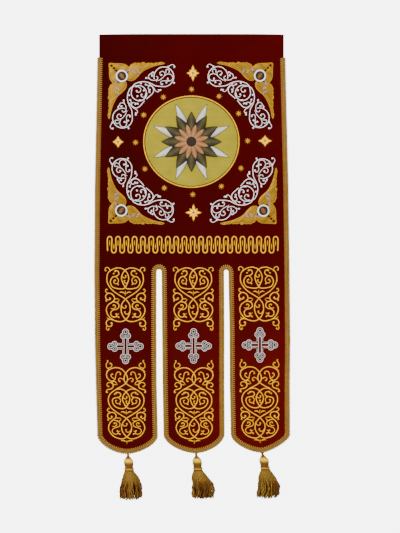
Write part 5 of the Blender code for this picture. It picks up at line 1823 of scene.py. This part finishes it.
class BANNER_OT_tassels(bpy.types.Operator):
    """Hang a turned silk tassel with twisted strands from each tail"""

    bl_idname = "banner.tassels"
    bl_label = "Tassels"

    # Each ring's tone is partly the silk's own colour and partly painted light: the bright band on the head and the
    # bright rim of the collar are painted highlights.
    Ring = namedtuple("Ring", "down radius tone")
    RINGS = (
        Ring(0.0, 3.5, 0.34),
        Ring(7.2, 3.5, 0.30),
        Ring(8.0, 4.2, 0.22),
        Ring(9.6, 5.6, 0.20),
        Ring(11.0, 6.8, 0.24),
        Ring(12.2, 7.9, 0.50),
        Ring(14.4, 9.6, 0.72),
        Ring(16.8, 11.2, 0.95),
        Ring(19.2, 12.2, 1.00),
        Ring(21.8, 12.6, 0.90),
        Ring(24.4, 12.7, 0.60),
        Ring(27.5, 12.4, 0.36),
        Ring(30.6, 11.8, 0.27),
        Ring(34.0, 11.3, 0.24),
        Ring(37.0, 11.2, 0.24),
        Ring(38.0, 11.8, 0.30),
        Ring(39.4, 12.8, 0.50),
        Ring(41.0, 13.1, 0.82),
        Ring(42.8, 12.7, 0.50),
        Ring(44.4, 11.6, 0.22),
        Ring(46.0, 11.2, 0.20),
        Ring(54.0, 12.0, 0.10),
        Ring(62.0, 12.0, 0.05),
    )
    Reach = namedtuple("Reach", "down radius")
    SKIRT = (
        Reach(45.0, 11.0),
        Reach(49.0, 12.2),
        Reach(54.0, 15.6),
        Reach(61.0, 19.2),
        Reach(69.0, 22.7),
        Reach(79.0, 26.6),
        Reach(88.0, 29.0),
        Reach(98.0, 29.8),
        Reach(119.0, 29.6),
    )
    DEPTH = 0.78
    STRAND_RADIUS = 1.8
    NET_CORDS = 12
    NET_TOP = 46.0
    NET_FOOT = 71.0

    def execute(self, context):
        for tassel in TASSELS:
            parts = [self.skirt(tassel, context.scene.banner_sizes.tassel_strands), self.net(tassel)]
            item = joined(f"silk_tassel_{tassel.name}", [*parts, self.head(tassel)])
            keep(item, f"tassel_{tassel.name}", "tassel_gold", tassel_material(), 60.0)
        return {"FINISHED"}

    def led(self, tassel, corners):
        """Move corners that stand about an upright line to the tassel's own leaning middle line."""
        down = -corners[:, 2]
        part = np.clip(down / 120.0, 0, None) ** 1.6
        behind = float(swell(np.array([tassel.x]), np.array([TAIL_END_DROP]))[0])
        x = tassel.x + np.interp(down, LINE_DOWNS, tassel.line) + corners[:, 0]
        y = behind + tassel.lean_y * part + corners[:, 1] * self.DEPTH
        return np.column_stack((x, y, corners[:, 2] - tassel.drop))

    def head(self, tassel):
        """The cord, cap, head and collar, extruded ring by ring from a circle."""
        first = self.RINGS[0]
        bpy.ops.object.select_all(action="DESELECT")
        bpy.ops.mesh.primitive_circle_add(vertices=40, radius=first.radius * MM, fill_type="NGON")
        item = bpy.context.object
        bpy.ops.object.mode_set(mode="EDIT")
        bpy.ops.mesh.select_all(action="SELECT")
        for above, ring in zip(self.RINGS, self.RINGS[1:]):
            step = (0, 0, (above.down - ring.down) * MM)
            bpy.ops.mesh.extrude_region_move(TRANSFORM_OT_translate={"value": step})
            grow = ring.radius / above.radius
            bpy.ops.transform.resize(value=(grow, grow, 1), center_override=(0, 0, -ring.down * MM))
        bpy.ops.object.mode_set(mode="OBJECT")
        corners = corners_of(item.data) / MM
        down = -corners[:, 2]
        tone = np.interp(down, [ring.down for ring in self.RINGS], [ring.tone for ring in self.RINGS])
        turn = np.arctan2(corners[:, 1], corners[:, 0])
        kept = item.data.attributes.new("lay", "FLOAT_VECTOR", "POINT")
        kept.data.foreach_set("vector", np.column_stack((np.abs(turn) * 12.0, down * 0.3, tone)).ravel())
        item.data.vertices.foreach_set("co", (self.led(tassel, corners) * MM).ravel())
        item.data.update()
        return item

    def reach(self, down):
        """The skirt's radius at a distance below the hanging point."""
        return np.interp(down, [row.down for row in self.SKIRT], [row.radius for row in self.SKIRT])

    def net(self, tassel):
        """Crossed cords that hold the top of the skirt and end in points."""
        tubes = []
        down = np.linspace(self.NET_TOP, self.NET_FOOT, 18)
        for way in (1, -1):
            for number in range(self.NET_CORDS):
                turn = 2 * np.pi * number / self.NET_CORDS + way * (down - self.NET_TOP) * 0.0524
                out = self.reach(down) + 1.3
                line = np.column_stack((out * np.cos(turn), out * np.sin(turn), -down))
                tubes.append((line, np.full(len(down), 0.9), np.full(len(down), 0.56)))
        return self.tubes(f"net_{tassel.name}", tassel, tubes, 6, 0.0)

    def skirt(self, tassel, count):
        """Twisted strands that fan out below the collar, with fuller ones over the inner ones."""
        dice = random.Random(tassel.seed)
        tubes = []
        outer = round(count * 0.52)
        for number in range(count):
            over = number < outer
            share = number / outer if over else (number - outer) / (count - outer)
            turn = 2 * math.pi * (share + 0.4 * dice.random() / outer)
            full = 0.93 + 0.07 * dice.random() if over else 0.40 + 0.48 * dice.random()
            end = 119.0 - 8.0 * math.cos(turn) ** 2 * dice.random() - 4.0 * dice.random() ** 2
            down = np.linspace(45.0, end, 36)
            low = eased((down - 62.0) / 36.0)
            curl = 0.08 * np.sin((down - 60.0) * (0.10 + 0.08 * dice.random()) + 6.3 * dice.random())
            wave = low * ((dice.random() - 0.5) * 0.16 + curl)
            crimp = 1 + low * 0.05 * np.sin(down * (0.22 + 0.1 * dice.random()) + 6.3 * dice.random())
            out = self.reach(down) * full * crimp * (1 - 0.08 * dice.random() * low)
            line = np.column_stack((out * np.cos(turn + wave), out * np.sin(turn + wave), -down))
            # A strand's tone: painted shade on the inner strands, random tones with painted highlights on the outer
            # ones, and a lighter tone under the net.
            bright = 0.08 + 0.50 * dice.random() ** 2.2 if over else 0.04 + 0.10 * dice.random()
            dulled = eased((down - 66.0) / 14.0)
            shade = 0.36 * (1 - dulled) + bright * dulled
            thick = self.STRAND_RADIUS * np.where(down > end - 2.5, 0.75, 1.0) * (0.9 + 0.25 * dice.random())
            tubes.append((line, thick, np.clip(shade, 0.0, 1.0)))
        return self.tubes(f"strands_{tassel.name}", tassel, tubes, 7, 0.16)

    def tubes(self, name, tassel, tubes, sides, lobe):
        """Round or two-ply cords in one mesh. A tube is its line, its radii and its tones."""
        corners, faces, lays = [], [], []
        start = 0
        turns = np.linspace(0, 2 * np.pi, sides, endpoint=False)
        for line, thick, tone in tubes:
            count = len(line)
            twist = -line[:, 2, None] * 0.9
            radii = np.asarray(thick)[..., None] * (1 + lobe * np.cos(2 * turns[None, :] - twist))
            radii = np.broadcast_to(radii, (count, sides))
            rings = np.dstack((line[:, 0, None] + radii * np.cos(turns), line[:, 1, None] + radii * np.sin(turns),
                np.broadcast_to(line[:, 2, None], (count, sides))))
            corners.append(rings.reshape(-1, 3))
            lays.append(np.dstack((np.broadcast_to(turns * 0.5, (count, sides)),
                np.broadcast_to(-line[:, 2, None] * 1.6, (count, sides)),
                np.broadcast_to(np.asarray(tone)[:, None], (count, sides)))).reshape(-1, 3))
            for index in range(count - 1):
                here = start + index * sides
                for side in range(sides):
                    after = (side + 1) % sides
                    faces.append([here + side, here + sides + side, here + sides + after, here + after])
            faces.append([start + side for side in range(sides)])
            faces.append([start + (count - 1) * sides + side for side in range(sides)][::-1])
            start += count * sides
        return object_from(name, self.led(tassel, np.vstack(corners)), faces, np.vstack(lays))


def tassel_material():
    """Gold silk: painted highlights on the head, darker and browner down the strands, and painted shade in the grooves
    between threads.
    """
    found = bpy.data.materials.get("tassel_silk")
    if found:
        return found
    material = bpy.data.materials.new("tassel_silk")
    material.use_nodes = True
    tree = material.node_tree
    shader = tree.nodes["Principled BSDF"]
    shader.inputs["Roughness"].default_value = 0.30
    shader.inputs["Metallic"].default_value = 0.4
    shader.inputs["Specular IOR Level"].default_value = 0.06
    lay = put(tree, "ShaderNodeAttribute", attribute_name="lay")
    parts = put(tree, "ShaderNodeSeparateXYZ")
    threads = placed_group(tree, thread_group(), Pitch=1.1)
    patches = placed_group(tree, patches_group(), Scale=40.0, Amount=0.12)
    shade = placed_group(tree, shade_group())
    ramp = put(tree, "ShaderNodeValToRGB")
    ramp.color_ramp.elements[0].color = (0.045, 0.017, 0.002, 1)
    # The brightest colour is the painted highlight.
    ramp.color_ramp.elements[1].color = (0.88, 0.50, 0.015, 1)
    for place, colour in ((0.25, (0.138, 0.055, 0.008, 1)), (0.5, (0.172, 0.102, 0.018, 1))):
        ramp.color_ramp.elements.new(place).color = colour
    bump = put(tree, "ShaderNodeBump", {"Strength": 0.5, "Distance": 0.0004})
    wire(tree, (lay.outputs["Vector"], parts.inputs["Vector"]))
    run = maths(tree, "MULTIPLY_ADD", parts.outputs["Y"], 0.25, parts.outputs["X"])
    # Painted shade in the grooves between threads.
    factor = maths(tree, "MULTIPLY_ADD", threads.outputs["Groove"], -0.30, 1.05)
    wire(
        tree,
        (run, threads.inputs["Run"]),
        (parts.outputs["Z"], ramp.inputs["Fac"]),
        (ramp.outputs["Color"], shade.inputs["Colour"]),
        (maths(tree, "MULTIPLY", factor, patches.outputs["Factor"]), shade.inputs["Factor"]),
        (shade.outputs["Colour"], shader.inputs["Base Color"]),
        (threads.outputs["Height"], bump.inputs["Height"]),
        (bump.outputs["Normal"], shader.inputs["Normal"]),
    )
    return material


class BANNER_OT_stage(bpy.types.Operator):
    """Set the pale floor, the soft studio light and the level camera"""

    bl_idname = "banner.stage"
    bl_label = "Studio"

    FLOOR_BELOW = 0.55
    MM_A_PIXEL = 2.6
    TOP_PIXEL = 34.2
    MIDDLE_PIXEL = 192.0
    DISTANCE = 3.6
    SOFT_LIGHT = 1.0
    BACKDROP_LIGHT = 6.3

    def execute(self, context):
        scene = context.scene
        bpy.ops.object.select_all(action="DESELECT")
        bpy.ops.mesh.primitive_plane_add(size=3.2, location=(0.0, 0.2, CAD_BOX[0][2] - self.FLOOR_BELOW))
        floor = bpy.context.object
        floor.name = "studio_floor"
        apply_place(floor)
        material = bpy.data.materials.new("studio_floor")
        material.use_nodes = True
        shader = material.node_tree.nodes["Principled BSDF"]
        shader.inputs["Base Color"].default_value = scene.banner_colours.floor[:] + (1.0,)
        shader.inputs["Roughness"].default_value = 0.9
        floor.data.materials.append(material)
        world = bpy.data.worlds.new("studio")
        world.use_nodes = True
        tree = world.node_tree
        soft = tree.nodes["Background"]
        soft.inputs["Color"].default_value = (1.0, 1.0, 1.0, 1.0)
        soft.inputs["Strength"].default_value = self.SOFT_LIGHT
        seen = put(tree, "ShaderNodeBackground", {"Color": (1.0, 1.005, 1.06, 1.0), "Strength": self.BACKDROP_LIGHT})
        path = put(tree, "ShaderNodeLightPath")
        mixed = put(tree, "ShaderNodeMixShader")
        wire(
            tree,
            (path.outputs["Is Camera Ray"], mixed.inputs["Fac"]),
            (soft.outputs["Background"], mixed.inputs[1]),
            (seen.outputs["Background"], mixed.inputs[2]),
            (mixed.outputs["Shader"], tree.nodes["World Output"].inputs["Surface"]),
        )
        scene.world = world
        self.lamp("key", (-1.1, -2.4, 0.9), 92.0, 0.9)
        self.lamp("fill", (1.4, -2.6, -0.3), 26.0, 1.6)
        self.lamp("behind", (-0.6, 2.2, 2.0), 60.0, 1.2)
        wide, high = 400, 533
        frame_high = high * self.MM_A_PIXEL * MM
        x = (wide / 2 - self.MIDDLE_PIXEL) * self.MM_A_PIXEL * MM
        z = -(high / 2 - self.TOP_PIXEL) * self.MM_A_PIXEL * MM
        bpy.ops.object.camera_add(location=(x, -self.DISTANCE, z), rotation=(math.radians(90), 0, 0))
        camera = bpy.context.object
        camera.data.sensor_fit = "VERTICAL"
        camera.data.sensor_height = 36.0
        camera.data.lens = 36.0 * self.DISTANCE / frame_high
        scene.camera = camera
        return {"FINISHED"}

    def lamp(self, name, place, power, size):
        """A soft square light that faces the banner's middle."""
        bpy.ops.object.light_add(type="AREA", location=place)
        lamp = bpy.context.object
        lamp.name = name
        lamp.data.energy = power
        lamp.data.size = size
        aim = Vector((0.0, 0.0, -0.55)) - Vector(place)
        lamp.rotation_euler = aim.to_track_quat("-Z", "Y").to_euler()


STEPS = (
    BANNER_OT_cloth,
    BANNER_OT_sleeve,
    BANNER_OT_braid,
    BANNER_OT_wings,
    BANNER_OT_roundels,
    BANNER_OT_scrolls,
    BANNER_OT_medallion,
    BANNER_OT_rosette,
    BANNER_OT_stars,
    BANNER_OT_ornaments,
    BANNER_OT_frieze,
    BANNER_OT_panels,
    BANNER_OT_crosses,
    BANNER_OT_tassels,
    BANNER_OT_stage,
)


class BANNER_PT_parts(bpy.types.Panel):
    """The banner's sizes, colours and pieces in the sidebar"""

    bl_label = "Church Banner"
    bl_space_type = "VIEW_3D"
    bl_region_type = "UI"
    bl_category = "Banner"

    def draw(self, context):
        for group in (context.scene.banner_sizes, context.scene.banner_colours):
            box = self.layout.box()
            for name in group.__annotations__:
                box.prop(group, name)
        for step in STEPS:
            self.layout.operator(step.bl_idname)


CLASSES = (BannerSizes, BannerColours, *STEPS, BANNER_PT_parts)


def register():
    """Register the classes and hang the settings on the scene."""
    for item in CLASSES:
        bpy.utils.register_class(item)
    bpy.types.Scene.banner_sizes = bpy.props.PointerProperty(type=BannerSizes)
    bpy.types.Scene.banner_colours = bpy.props.PointerProperty(type=BannerColours)


def unregister():
    """Take the settings and the classes away again."""
    del bpy.types.Scene.banner_sizes
    del bpy.types.Scene.banner_colours
    for item in reversed(CLASSES):
        bpy.utils.unregister_class(item)


def main():
    """Make every piece in order."""
    register()
    for step in STEPS:
        group, name = step.bl_idname.split(".")
        getattr(getattr(bpy.ops, group), name)()
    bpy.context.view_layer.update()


if __name__ == "__main__":
    main()
